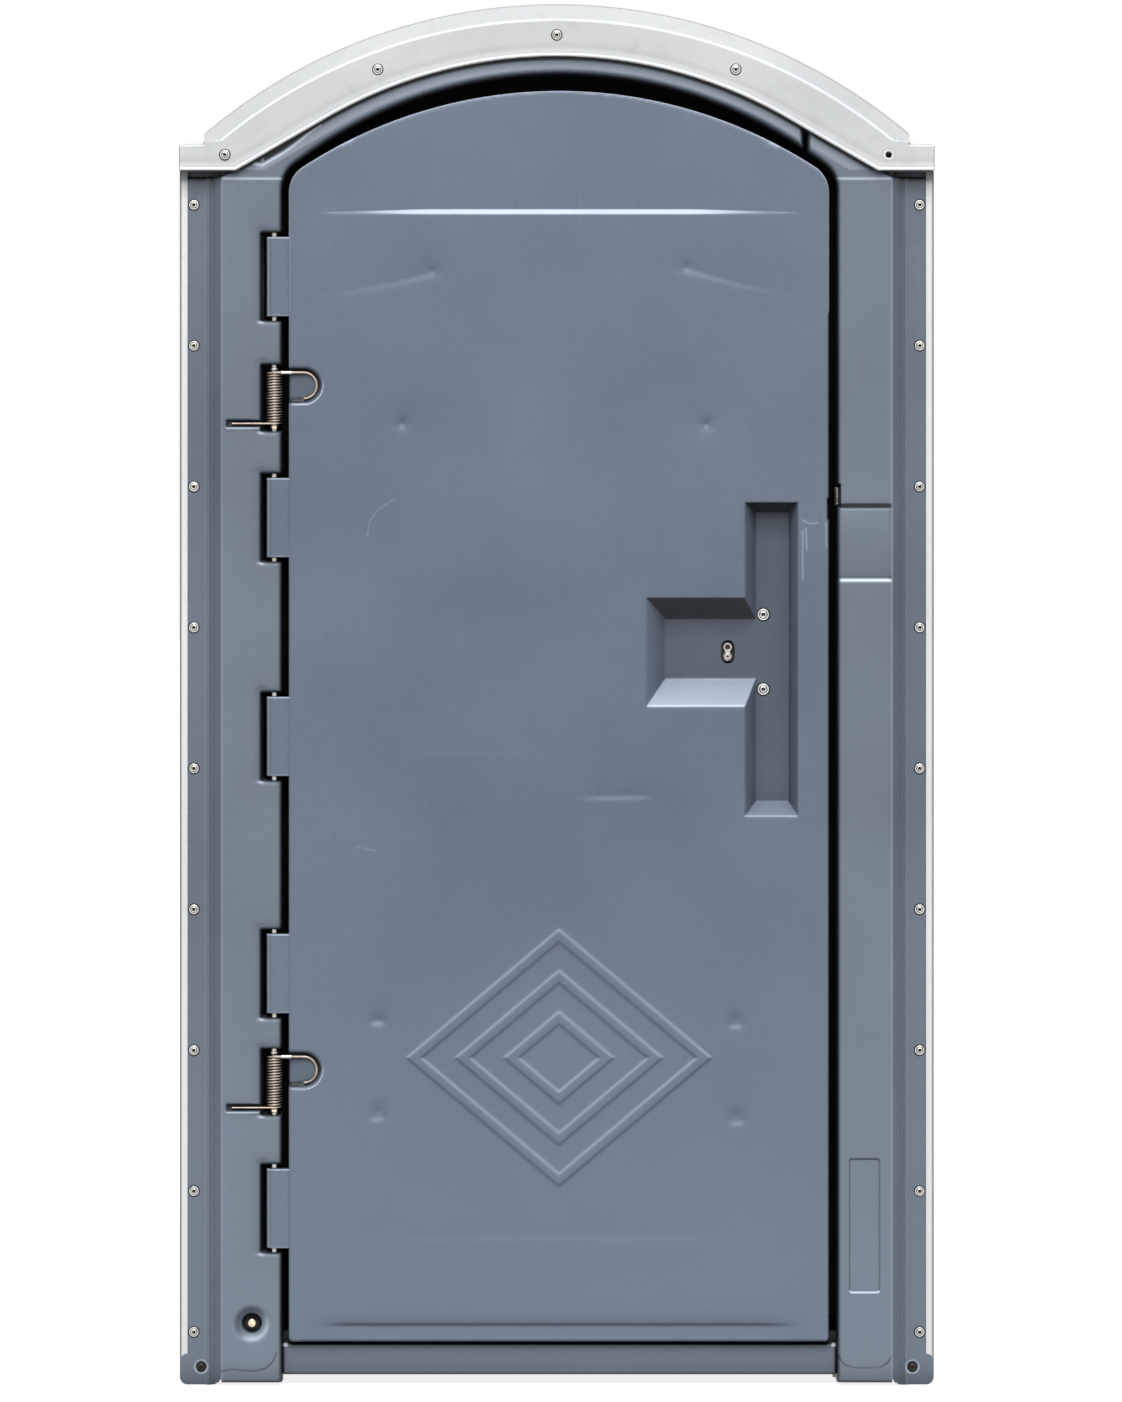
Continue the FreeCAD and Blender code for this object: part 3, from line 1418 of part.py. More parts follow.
def seat_set():
    """Seat ring and lid on one pin, carried by a bracket at the back of the bench."""
    z = S.bench_up + S.seat_hinge_up
    y = S.seat_hinge_y
    spread, ear_r = S.seat_spread, float(S.seat_knuckle)
    pin_r = float(S.seat_pin) / 2
    bore = pin_r + float(S.running_fit)
    gap = float(S.loose_fit) * 2
    back = float(y - S.seat_back)

    ring = seat_outline(S.seat_wide, S.seat_long, seat_under, seat_under + S.seat_thick)
    ring = ring.cut(seat_outline(S.seat_open_wide, S.seat_open_long, seat_under - 1, seat_under + S.seat_thick + 1))
    lid_low = seat_under + S.seat_thick + S.lid_gap
    cover = seat_outline(S.seat_wide, S.seat_long, lid_low, lid_low + S.lid_thick)
    rim = [e for e in cover.Edges if e.BoundBox.ZMin > float(lid_low + S.lid_thick) - 0.01]
    cover = cover.makeChamfer(3, rim)
    bracket = block(-spread - 34, spread + 34, y - 14, y + 14, S.bench_up, S.bench_up + 3)
    bracket_bores = []
    for side in (-1, 1):
        ear, hole = hinge_ear(side * (spread + 18), side * (spread + 30), ear_r, bore)
        post = block(side * (spread + 18), side * (spread + 30), y - 9, y + 9, S.bench_up, z)
        bracket = bracket.fuse(ear).fuse(post)
        bracket_bores.append(hole)
        ear, hole = hinge_ear(side * spread, side * (spread + 18 - gap), ear_r, bore)
        arm = block(side * spread, side * (spread + 18 - gap), back - 6, y, z - 6, z + 6)
        ring = ring.fuse(ear).fuse(arm).cut(hole)
        ear, hole = hinge_ear(side * (spread - gap), side * (spread - 18), ear_r, bore)
        arm = block(side * (spread - gap), side * (spread - 18), back - 6, y, lid_low, lid_low + S.lid_thick - 1)
        riser = block(side * (spread - gap), side * (spread - 18), y - ear_r, y + 4, z, lid_low + S.lid_thick - 1)
        cover = cover.fuse(ear).fuse(arm).fuse(riser).cut(hole)
    for hole in bracket_bores:
        bracket = bracket.cut(hole)
    origin = at(0, y, z)
    for name, shape in (("seat_bracket", bracket), ("toilet_seat", ring), ("seat_lid", cover)):
        shape.translate(-origin)
        moulded(name, shape, 0, y, z)
    pin = body("seat_pin", -spread - 31, y, z)
    drawing = sketch_on(pin, "YZ")
    circle(drawing, 0, 0, S.seat_pin / 2)
    feature(pin, "Pad", drawing, Length=(spread + 31) * 2)
    rows = (back - S.bumper_back, back - S.bumper_back - S.bumper_spread)
    spots = [(x, y0) for x in (-S.seat_wide * 0.4, S.seat_wide * 0.4) for y0 in rows]
    pads = [block(x - 6, x + 6, y0 - 6, y0 + 6, S.bench_up, S.bench_up + S.bumper_tall) for x, y0 in spots]
    group = doc.addObject("Part::Feature", "seat_bumpers")
    origin = at(spots[0][0], spots[0][1], S.bench_up)
    for pad in pads:
        pad.translate(-origin)
    group.Shape = Part.makeCompound(pads)
    put(group, spots[0][0], y - S.seat_back - S.bumper_back, S.bench_up)
    keep(group, "seat_bumpers")


# Vent pipe


def vent():
    """The tank's vent: pipe through the roof, rubber collar and rain cap."""
    x, y = S.vent_across, S.vent_back
    pipe = body("vent_pipe", x, y, S.bench_up)
    drawing = sketch_on(pipe, "XY")
    circle(drawing, 0, 0, S.vent_pipe_wide / 2)
    circle(drawing, 0, 0, S.vent_pipe_wide / 2 - S.vent_pipe_wall)
    feature(pipe, "Pad", drawing, Length=S.vent_pipe_high - S.bench_up)

    cap = body("vent_cap", x, y, S.vent_pipe_high)
    profile = sketch_on(cap, "XZ")
    half = S.vent_cap_wide / 2
    rise = S.vent_cap_high - S.vent_pipe_high
    outline(profile, [(0, rise - 4), (half - 3, rise - 14), (half - 3, rise - 20), (half, rise - 20), (half, rise - 12), (0, rise)])
    feature(cap, "Revolution", profile, Angle=360)
    legs = sketch_on(cap, "XY")
    inner = S.vent_pipe_wide / 2 - S.vent_pipe_wall - S.loose_fit / 2
    for i in range(3):
        turn = math.radians(90 + 120 * i)
        cx, cy = (inner - 5) * math.cos(turn), (inner - 5) * math.sin(turn)
        box_outline(legs, cx - 3, cx + 3, cy - 3, cy + 3)
    feature(cap, "Pad", legs, Length=rise - 8)
    lower = feature(cap, "Pad", legs, back=True, Length=12)
    cap.Tip = lower

    wide = S.collar_wide / 2
    low, high = S.eave_low + S.eave_tall, S.cabin_tall - S.crease_drop
    ring = cylinder(at(x, y, low), at(0, 0, high - low), wide)
    bore = cylinder(at(x, y, low - 1), at(0, 0, high - low + 2), S.vent_pipe_wide / 2)
    crown = dome(S.dome_radius + S.collar_tall, y - wide - 1, y + wide + 1)
    ring = ring.common(crown).cut(dome(S.dome_radius, y - wide - 2, y + wide + 2)).cut(bore)
    ring.translate(at(-x, -y, -low))
    moulded("vent_collar", ring, x, y, low)


# Urinal and drain


def drain_x():
    return wall_in - S.loose_fit - S.urinal_foot * 0.6


def drain_end():
    return S.bench_up - 90


def urinal():
    """A half-round basin on the right wall that drains to the tank."""
    basin = body("urinal", wall_in - S.loose_fit, S.urinal_y, S.urinal_up)
    radius, tall, wall, foot = S.urinal_radius, S.urinal_tall, S.urinal_wall, S.urinal_foot
    profile = sketch_on(basin, "YZ")
    outline(profile, [(0, 0), (foot, 0), (radius, tall * 0.45), (radius, tall), (0, tall)])
    feature(basin, "Revolution", profile, Angle=180, back=False)
    bowl = sketch_on(basin, "YZ")
    outline(bowl, [(0, wall), (foot - wall, wall), (radius - wall, tall * 0.45), (radius - wall, tall + 1), (0, tall + 1)])
    feature(basin, "Groove", bowl, Angle=180, back=False)
    back = sketch_on(basin, "YZ")
    outline(back, [(-foot, 0), (foot, 0), (radius, tall * 0.45), (radius, tall + 80), (-radius, tall + 80), (-radius, tall * 0.45)])
    feature(basin, "Pad", back, back=True, Length=wall)
    outlet = sketch_on(basin, "XY", -12)
    circle(outlet, -S.urinal_foot * 0.6, 0, S.drain_wide / 2 - 3)
    feature(basin, "Pocket", outlet, back=True, Length=wall + 20)

    x, radius, skin = drain_x(), S.drain_wide / 2, S.drain_wall
    drop = S.urinal_up - drain_end()
    run = S.bench_front + S.drain_into - S.urinal_y
    down, back_way = FreeCAD.Vector(0, 0, -1), FreeCAD.Vector(0, 1, 0)
    sump = drop + radius
    pipe = cylinder(at(0, 0, 0), down * float(sump + skin), radius)
    pipe = pipe.fuse(cylinder(at(0, 0, -drop), back_way * float(run), radius))
    pipe = pipe.cut(cylinder(at(0, 0, 1), down * float(sump + 1), radius - skin))
    pipe = pipe.cut(cylinder(at(0, 0, -drop), back_way * float(run + 1), radius - skin))
    moulded("urinal_drain", pipe, x, S.urinal_y, S.urinal_up)


# Paper holder


def paper_holder():
    """A wall bracket on the left wall with an arm that swings out to take a roll."""
    x = -wall_in + S.loose_fit
    out, pin = S.paper_out, float(S.paper_pin) / 2
    fit = float(S.running_fit)
    tall = S.paper_arm_wide + S.loose_fit * 2
    bracket = block(0, 4, -24, 24, -40, 40)
    for z in (tall / 2, -tall / 2 - 5):
        bracket = bracket.fuse(block(3, out, -9, 9, z, z + 5)).fuse(cylinder(at(out, 0, z), at(0, 0, 5), 9))
    bracket = bracket.cut(cylinder(at(out, 0, -tall), at(0, 0, tall * 2), pin))
    moulded("paper_bracket", bracket, x, S.paper_y, S.paper_up)
    bolt = body("paper_pin", x + out, S.paper_y, S.paper_up - tall / 2 - 5)
    drawing = sketch_on(bolt, "XY")
    circle(drawing, 0, 0, S.paper_pin / 2 - S.running_fit / 2)
    feature(bolt, "Pad", drawing, Length=tall + 10)
    radius = S.paper_arm_wide / 2
    eye = cylinder(at(0, 0, -radius), at(0, 0, S.paper_arm_wide), 8)
    arm = cylinder(at(0, -6, 0), at(0, -S.paper_arm_long + 6, 0), radius - 0.5)
    knob = cylinder(at(0, -S.paper_arm_long, 0), at(0, -5, 0), radius * 2)
    shape = eye.fuse(arm).fuse(knob).cut(cylinder(at(0, 0, -20), at(0, 0, 40), pin + fit))
    moulded("paper_arm", shape, x + out, S.paper_y, S.paper_up)


def checked(piece):
    """Stops the build on a failed object."""
    shape = piece.Shape
    if shape.isNull() or not shape.isValid() or not shape.Solids:
        raise RuntimeError(f"{piece.Label}: no valid solid")
    return shape


def main():
    skids()
    base_pan()
    door_sill()
    hinge_side_frame()
    latch_side_post()
    rivets()
    side_walls()
    back_wall()
    corner_trims()
    roof()
    door_skin()
    hand_recess()
    door_inner_panel()
    hinge_rod()
    hinge_springs()
    latch()
    door_fittings()
    lock_staple()
    foot_screws()
    waste_tank()
    seat_set()
    vent()
    urinal()
    paper_holder()
    doc.recompute()
    for thing in doc.Objects:
        if "Invalid" in thing.State or "Error" in thing.State:
            raise RuntimeError(f"{thing.Name} failed: {thing.State}")
    os.makedirs("parts", exist_ok=True)
    for piece in pieces:
        checked(piece).exportStep(f"parts/{piece.Label}.step")
    print(len(pieces), "pieces")


main()
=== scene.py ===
"""The portable toilet cabin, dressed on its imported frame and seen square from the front.

Lengths in this file are millimetres until a mesh is made. The frame's own solids give the main
planes, and each moulded face is a height over the plane of the page: y as a function of x and z.
"""

import math

import bpy
import numpy as np
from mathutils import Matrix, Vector
from mathutils.geometry import tessellate_polygon


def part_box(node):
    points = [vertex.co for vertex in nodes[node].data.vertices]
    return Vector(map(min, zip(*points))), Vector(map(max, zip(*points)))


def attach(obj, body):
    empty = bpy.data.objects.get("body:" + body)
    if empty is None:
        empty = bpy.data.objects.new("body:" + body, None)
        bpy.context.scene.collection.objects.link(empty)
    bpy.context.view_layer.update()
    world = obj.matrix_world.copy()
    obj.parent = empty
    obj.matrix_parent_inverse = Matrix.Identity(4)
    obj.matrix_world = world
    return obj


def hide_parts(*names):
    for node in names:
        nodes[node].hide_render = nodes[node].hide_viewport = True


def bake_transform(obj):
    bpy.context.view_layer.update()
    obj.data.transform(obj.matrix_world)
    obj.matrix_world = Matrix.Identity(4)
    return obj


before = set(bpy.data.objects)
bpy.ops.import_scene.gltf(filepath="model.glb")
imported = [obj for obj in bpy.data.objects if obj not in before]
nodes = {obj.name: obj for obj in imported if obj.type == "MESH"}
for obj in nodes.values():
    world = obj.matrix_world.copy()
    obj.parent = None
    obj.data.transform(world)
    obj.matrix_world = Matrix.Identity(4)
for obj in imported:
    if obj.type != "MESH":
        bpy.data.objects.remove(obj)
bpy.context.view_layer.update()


def box_of(node):
    """A node's lowest and highest corners in millimetres."""
    low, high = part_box(node)
    return low * 1000, high * 1000


door_low, door_high = box_of("door_skin")
roof_low, roof_high = box_of("roof")
rod_low, rod_high = box_of("hinge_rod")
inner_low, inner_high = box_of("door_inner_panel")
bolt_low, bolt_high = box_of("post_bolt")
link_low, link_high = box_of("latch_link")
sill_low, sill_high = box_of("door_sill")
staple_low, staple_high = box_of("lock_staple")
side_low, side_high = box_of("right_wall")
rear_low, rear_high = box_of("back_wall")
coils_foot = box_of("hinge_springs")[0].z
handle_back = box_of("handle_rivets")[1].y

# Planes, from the front face backwards

FRONT = box_of("hinge_side_frame")[0].y
FLANGE = FRONT + 14
FRAME_BACK = FRONT + 43
DOOR_BACK = FRONT + 35
ROOF_FACE = roof_low.y + 3

# The door opening and the door leaf: sides, foot, crown and the radius of the arch

OPEN_LEFT = -407.0
OPEN_RIGHT = 415.0
OPEN_CROWN = 1942.0
OPEN_RADIUS = 645.0
LEAF_LIP = 4.25
LEAF_LEFT = inner_low.x - LEAF_LIP
LEAF_RIGHT = inner_high.x + LEAF_LIP
LEAF_MIDDLE = (LEAF_LEFT + LEAF_RIGHT) / 2
LEAF_LOW = door_low.z
LEAF_CROWN = door_high.z
LEAF_RADIUS = 696.0
PIN_X = (rod_low.x + rod_high.x) / 2
PIN_Y = (rod_low.y + rod_high.y) / 2

# The posts, measured up, and in from their outer sides: feet, flanges with a bead, slopes

POST_FOOT = 4.4
FOOT_TALL = 46.0
FOOT_ROUND = 12.0
FOOT_IN = 500.0
FOOT_GAP = 3.5
POST_TOP = 1790.0
HEADER_LOW = 1700.0
FRAME_TOP = 1985.0
HEAD_SIDE = 470.0
WALL_OUT = 547.0
FLANGE_WIDE = 27.0
FLANGE_BEAD = 33.0
SLOPE = (35.0, 51.0)

# The roof: eaves, the vault's arc, the front bead's arc and the crease's distance in from the edge

EAVE_X = roof_high.x
EAVE_LOW = roof_low.z
EAVE_HIGH = EAVE_LOW + 40
DOME_RADIUS = 807.0
DOME_MIDDLE = roof_high.z - DOME_RADIUS
BEAD_RADIUS = 681.0
BEAD_MIDDLE = 1286.0
CREASE = 25.5
TRIM_OUT = box_of("front_right_trim")[1].x / 1000

# The hinge: middles of the knuckles, feet of the coils, and the springs' arms, hooks and pockets

KNUCKLES = (262.0, 609.9, 961.1, 1285.1, 1642.0)
KNUCKLE_TALL = 118.0
COILS = (coils_foot + 12, 1424.5)
COIL_TALL = 75.6
HOOK = 19.2
HOOK_POCKET = 27.4
DOOR_ARM = 44.4
JAMB_ARM = 62.0
COIL_RADIUS = 10.3
NOTCH = 19.8

# The door's raised field, ledge and hand recess, whose boxes and wall widths go (left, right, low, high)

FIELD = 3.0
FIELD_FOOT = 89.0
LEDGE = (-349.0, 355.0)
LEDGE_UP = 1737.0
LEDGE_DROP = 4.5
LATCH_UP = 1086.0
CHANNEL = (278.0, 357.0, 843.0, 1308.0)
CHANNEL_WALLS = (17.7, 13.0, 20.7, 15.0)
GRIP = (132.0, 317.5, 1005.0, 1167.0)
GRIP_WALLS = (28.6, 8.0, 40.8, 32.7)
RECESS_DEEP = handle_back - FRONT + FIELD
WINDOW = (254.0, 21.0, 35.0)

# Small forms of the front frame and the roof

SEAM = (365.4, 370.8)
STAPLE_SLOT = (1301.0, 1335.0)
LATCH_PANEL = (1189.0, 1306.5)
PLATE = (432.0, 479.0, 137.0, 337.0)
DISH = (-451.8, 91.8)
LEFT_SCREW = (-527.3, 26.5)
RIGHT_SCREW = (527.3, 26.5)
LOST_HOLE = (491.0, 1822.0)
HOLE_RADIUS = 4.75


# Distances from outlines: below zero inside, above zero outside


def box_reach(x, z, x0, x1, z0, z1, radius=0.0):
    """Distance from a box with rounded corners."""
    across = np.abs(x - (x0 + x1) / 2) - (x1 - x0) / 2 + radius
    up = np.abs(z - (z0 + z1) / 2) - (z1 - z0) / 2 + radius
    outside = np.hypot(np.maximum(across, 0), np.maximum(up, 0))
    return outside + np.minimum(np.maximum(across, up), 0) - radius


def disc_reach(x, z, x0, z0, radius):
    """Distance from a round disc."""
    return np.hypot(x - x0, z - z0) - radius


def rounded_both(a, b, radius, facing):
    """Distance from what lies in both shapes, their corner rounded, given the cosine between their sides."""
    p, q = a + radius, b + radius
    first = p - facing * q
    second = q - facing * p
    away = np.sqrt(np.maximum((p * p + q * q - 2 * facing * p * q) / (1 - facing * facing), 0))
    return np.where((first > 0) & (second > 0), away - radius, np.maximum(a, b))


def arch_reach(x, z, x0, x1, low, crown, radius, shoulder, corner):
    """Distance from an upright panel with an arched head, round shoulders and round lower corners."""
    middle = (x0 + x1) / 2
    panel = box_reach(x, z, x0, x1, low, crown + 500, corner)
    head = disc_reach(x, np.maximum(z, crown - radius), middle, crown - radius, radius)
    facing = (x1 - x0) / 2 / radius
    return rounded_both(panel, head, shoulder, facing)


def leaf_reach(x, z):
    """Distance from the door leaf's outline."""
    return arch_reach(x, z, LEAF_LEFT, LEAF_RIGHT, LEAF_LOW, LEAF_CROWN, LEAF_RADIUS, 47, 6)


def opening_reach(x, z):
    """Distance from the door opening."""
    return arch_reach(x, z, OPEN_LEFT, OPEN_RIGHT, -400, OPEN_CROWN, OPEN_RADIUS, 50, 1)


def bead_reach(x, z):
    """Distance above the line of the roof's front bead: an arc with straight flanks."""
    across = np.abs(x)
    up = z - BEAD_MIDDLE
    turn = math.radians(30)
    flank = across * math.sin(turn) + up * math.cos(turn) - BEAD_RADIUS
    arc = np.hypot(across, up) - BEAD_RADIUS
    return np.where(np.arctan2(across, np.maximum(up, 1)) > turn, flank, arc)


# Heights


def rise(distance, wide, soft):
    """From 0 to 1 as distance runs from 0 to wide, its ends rounded by soft."""
    low = (distance + np.sqrt(distance * distance + soft * soft)) / 2
    left = wide - low
    return 1 - (left + np.sqrt(left * left + soft * soft)) / (wide + np.sqrt(wide * wide + soft * soft))


def smooth(value):
    """A gentle step from 0 to 1."""
    t = np.clip(value, 0, 1)
    return t * t * (3 - 2 * t)


def edge_fall(inside, radius):
    """How far a rounded edge falls back, where inside is the distance in from the outline."""
    t = np.clip(radius - inside, 0, radius)
    return radius - np.sqrt(np.maximum(radius * radius - t * t, 0))


def dimple(x, z, x0, z0, radius, deep):
    """A small round dent with a sharp bottom."""
    away = np.hypot(x - x0, z - z0) / radius
    return deep * np.exp(-np.power(away, 1.2) * 2.2)


def crease(x, z, start, end, wide, deep, heavy=0.0, lip=3.4, sag=0.0):
    """A dent that deepens down to a crease between two points; heavy moves its depth to the end point."""
    (x0, z0), (x1, z1) = start, end
    length = math.hypot(x1 - x0, z1 - z0)
    ux, uz = (x1 - x0) / length, (z1 - z0) / length
    along = np.clip(((x - x0) * ux + (z - z0) * uz) / length, 0, 1)
    over = ((z - z0) * ux - (x - x0) * uz) * math.copysign(1, ux)
    over = over + sag * (1 - (2 * along - 1) ** 2)
    ends = smooth(along * 3.2) * smooth((1 - along) * (3.2 + 8 * heavy)) * (1 - heavy * (1 - along))
    return deep * ends * np.where(over > 0, np.exp(-np.maximum(over, 0) / wide), np.exp(-(over / lip) ** 2))


def crack(x, z, points, wide, deep):
    """A fine line along a run of points."""
    total = np.zeros_like(x)
    for (x0, z0), (x1, z1) in zip(points, points[1:]):
        dx, dz = x1 - x0, z1 - z0
        t = np.clip(((x - x0) * dx + (z - z0) * dz) / (dx * dx + dz * dz), 0, 1)
        away = np.hypot(x - x0 - t * dx, z - z0 - t * dz)
        total = np.maximum(total, deep * np.exp(-(away / wide) ** 2))
    return total


def band(value, low, high, soft):
    """1 between two values, fading over soft on both sides."""
    return smooth((value - low) / soft + 0.5) * smooth((high - value) / soft + 0.5)


def darker(total, share):
    """A shade with a darker one laid over it, where that one has any."""
    return np.where(share > 0.02, np.maximum(total, share), total)


def waves(x, z, size, high):
    """The slow unevenness of a large moulded face."""
    return high * (
        np.sin(x / size + 1.3) * np.cos(z / (size * 1.35) + 0.4)
        + 0.6 * np.sin((x + z) / (size * 0.62) + 2.1)
        + 0.4 * np.cos((x - z * 1.2) / (size * 0.41))
    )


def grid_lines(start, end, widest, spots):
    """Places of grid lines: as close as each spot (from, to, step) asks, and wider away from it."""
    places = [start]
    while places[-1] < end:
        step = widest
        for low, high, fine in spots:
            away = max(low - places[-1], places[-1] - high, 0)
            step = min(step, fine + away * 0.22)
        places.append(places[-1] + step)
    lines = np.array(places)
    return start + (lines - start) * (end - start) / (lines[-1] - start)


# Meshes


def new_piece(name, form, body, finish, replaces=(), sharp=38):
    """A mesh object from a form's points in millimetres, faces and shade, riding on a body."""
    points, faces = np.asarray(form[0], float), form[1]
    mesh = bpy.data.meshes.new(name)
    mesh.from_pydata((points / 1000).tolist(), [], faces)
    mesh.polygons.foreach_set("use_smooth", [True] * len(mesh.polygons))
    mesh.set_sharp_from_angle(angle=math.radians(sharp))
    mesh.materials.append(finishes[finish])
    if len(form) > 2:
        mesh.attributes.new("shade", "FLOAT", "POINT").data.foreach_set("value", form[2])
    piece = bpy.data.objects.new(name, mesh)
    bpy.context.scene.collection.objects.link(piece)
    if body:
        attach(piece, body)
    if replaces:
        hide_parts(*replaces)
    return piece


def loops_of(edges):
    """Closed loops from directed edges."""
    after = {}
    for a, b in edges:
        after.setdefault(a, []).append(b)
    loops = []
    while after:
        start = next(iter(after))
        loop = [start]
        here = start
        while True:
            onward = after[here].pop()
            if not after[here]:
                del after[here]
            if onward == start:
                break
            loop.append(onward)
            here = onward
            if here not in after:
                break
        loops.append(loop)
    return loops


def moulding(outline, height, back, across, up, shade=None, rear_shade=1.0):
    """Points, faces and shade of a closed moulding, its front at height(x, z) and its back flat."""
    x, z = np.meshgrid(across, up)
    reach = outline(x, z)
    cell = np.minimum(np.gradient(across)[None, :], np.gradient(up)[:, None])
    inside = reach < 0.45 * cell
    kept = inside[:-1, :-1] & inside[:-1, 1:] & inside[1:, :-1] & inside[1:, 1:]
    count = np.zeros(x.shape, int)
    rows, columns = kept.shape
    for i in (0, 1):
        for j in (0, 1):
            count[i:i + rows, j:j + columns] += kept
    used = count > 0
    rim = used & (count < 4)
    px, pz = x[rim], z[rim]
    for _ in range(6):
        away = outline(px, pz)
        gx = (outline(px + 0.05, pz) - outline(px - 0.05, pz)) / 0.1
        gz = (outline(px, pz + 0.05) - outline(px, pz - 0.05)) / 0.1
        size = np.maximum(gx * gx + gz * gz, 0.2)
        px = px - away * gx / size
        pz = pz - away * gz / size
    x[rim], z[rim] = px, pz
    index = np.full(x.shape, -1)
    index[used] = np.arange(used.sum())
    fx, fz = x[used], z[used]
    points = np.stack([fx, height(fx, fz), fz], axis=1)
    a, b = index[:-1, :-1], index[:-1, 1:]
    c, d = index[1:, 1:], index[1:, :-1]
    faces = np.stack([a[kept], b[kept], c[kept], d[kept]], axis=1).tolist()
    border = np.pad(kept, 1)
    sides = (
        (kept & ~border[:-2, 1:-1], a, b),
        (kept & ~border[1:-1, 2:], b, c),
        (kept & ~border[2:, 1:-1], c, d),
        (kept & ~border[1:-1, :-2], d, a),
    )
    edges = []
    for where, start, end in sides:
        edges += list(zip(start[where].tolist(), end[where].tolist()))
    rim_points = sorted({v for edge in edges for v in edge})
    behind = {v: len(points) + i for i, v in enumerate(rim_points)}
    rear = points[rim_points].copy()
    rear[:, 1] = back
    points = np.concatenate([points, rear])
    faces += [[b, a, behind[a], behind[b]] for a, b in edges]
    loops = loops_of(edges)
    flat = [v for loop in loops for v in loop]
    outlines = [[Vector((points[v][0], points[v][2], 0)) for v in loop] for loop in loops]
    for tri in tessellate_polygon(outlines):
        p, q, r = (points[flat[i]] for i in tri)
        turn = (q[0] - p[0]) * (r[2] - p[2]) - (q[2] - p[2]) * (r[0] - p[0])
        order = [behind[flat[i]] for i in tri]
        faces.append(order[::-1] if turn > 0 else order)
    # The back and the sides take rear_shade, by default 1: painted shade, near black, on backs and along the
    # gaps' sides.
    tone = np.full(len(points), rear_shade)
    tone[:len(fx)] = 0 if shade is None else np.clip(shade(fx, fz), -1, 1)
    return points, faces, tone


def joined(*parts):
    """Several meshes, each of points, faces and perhaps shade, as one."""
    points, faces, tone, start = [], [], [], 0
    for part in parts:
        some, tied = part[:2]
        points.append(np.asarray(some, float))
        faces += [[v + start for v in face] for face in tied]
        tone.append(part[2] if len(part) > 2 else np.zeros(len(some)))
        start += len(some)
    return np.concatenate(points), faces, np.concatenate(tone)


def lathe(profile, centre, segments=32):
    """A turned form about the y axis: profile holds (radius, y) from the middle outwards."""
    x0, y0, z0 = centre
    turns = np.linspace(0, 2 * math.pi, segments, endpoint=False)
    points, faces = [], []
    rings = []
    for radius, y in profile:
        if radius < 0.01:
            rings.append([len(points)])
            points.append((x0, y0 + y, z0))
            continue
        rings.append(list(range(len(points), len(points) + segments)))
        points += [(x0 + radius * math.cos(a), y0 + y, z0 + radius * math.sin(a)) for a in turns]
    for inner, outer in zip(rings, rings[1:]):
        for i in range(segments):
            j = (i + 1) % segments
            if len(inner) == 1:
                faces.append([inner[0], outer[i], outer[j]])
            elif len(outer) == 1:
                faces.append([inner[i], outer[0], inner[j]])
            else:
                faces.append([inner[i], outer[i], outer[j], inner[j]])
    return np.array(points), faces


def upright(profile, centre, segments=24):
    """A turned form about the z axis: profile holds (radius, z) from the bottom upwards."""
    points, faces = lathe([(radius, -z) for radius, z in profile], (0, 0, 0), segments)
    turned = np.stack([points[:, 0], points[:, 2], -points[:, 1]], axis=1)
    return turned + np.array(centre), faces


def tube(path, radius, sides=10):
    """A round wire along a line of points."""
    path = np.asarray(path, float)
    tangents = np.gradient(path, axis=0)
    tangents /= np.linalg.norm(tangents, axis=1)[:, None]
    normal = np.cross(tangents[0], (0.13, 0.2, 1.0))
    normal /= np.linalg.norm(normal)
    points = []
    turns = np.linspace(0, 2 * math.pi, sides, endpoint=False)
    for spot, tangent in zip(path, tangents):
        normal = normal - tangent * normal.dot(tangent)
        normal /= np.linalg.norm(normal)
        other = np.cross(tangent, normal)
        for a in turns:
            points.append(spot + radius * (normal * math.cos(a) + other * math.sin(a)))
    faces = []
    for i in range(len(path) - 1):
        for j in range(sides):
            k = (j + 1) % sides
            faces.append([i * sides + j, i * sides + k, (i + 1) * sides + k, (i + 1) * sides + j])
    faces.append(list(range(sides))[::-1])
    faces.append([(len(path) - 1) * sides + j for j in range(sides)])
    return np.array(points), faces


# Materials


def link(tree, start, end):
    """A link between two sockets."""
    tree.links.new(start, end)


def noise(tree, coords, scale, detail=3.0, stretch=None):
    """A noise texture on object coordinates, with its Fac output."""
    if stretch is not None:
        mapping = tree.nodes.new("ShaderNodeMapping")
        mapping.inputs["Scale"].default_value = stretch
        link(tree, coords, mapping.inputs["Vector"])
        coords = mapping.outputs["Vector"]
    texture = tree.nodes.new("ShaderNodeTexNoise")
    texture.inputs["Scale"].default_value = scale
    texture.inputs["Detail"].default_value = detail
    link(tree, coords, texture.inputs["Vector"])
    return texture.outputs["Fac"]


def ranged(tree, value, low, high, to_low=0.0, to_high=1.0):
    """A value mapped from one range to another, clamped."""
    node = tree.nodes.new("ShaderNodeMapRange")
    node.inputs["From Min"].default_value = low
    node.inputs["From Max"].default_value = high
    node.inputs["To Min"].default_value = to_low
    node.inputs["To Max"].default_value = to_high
    link(tree, value, node.inputs["Value"])
    return node.outputs["Result"]


def mixed(tree, factor, first, second):
    """A colour mixed from two colours, each a tuple or a socket."""
    node = tree.nodes.new("ShaderNodeMix")
    node.data_type = "RGBA"
    for socket, value in ((node.inputs[6], first), (node.inputs[7], second)):
        if isinstance(value, tuple):
            socket.default_value = (*value, 1.0)
        else:
            link(tree, value, socket)
    link(tree, factor, node.inputs[0])
    return node.outputs[2]


def combined(tree, kind, first, second):
    """Two values joined by a mathematical operation."""
    node = tree.nodes.new("ShaderNodeMath")
    node.operation = kind
    for socket, value in ((node.inputs[0], first), (node.inputs[1], second)):
        if isinstance(value, (int, float)):
            socket.default_value = value
        else:
            link(tree, value, socket)
    return node.outputs[0]


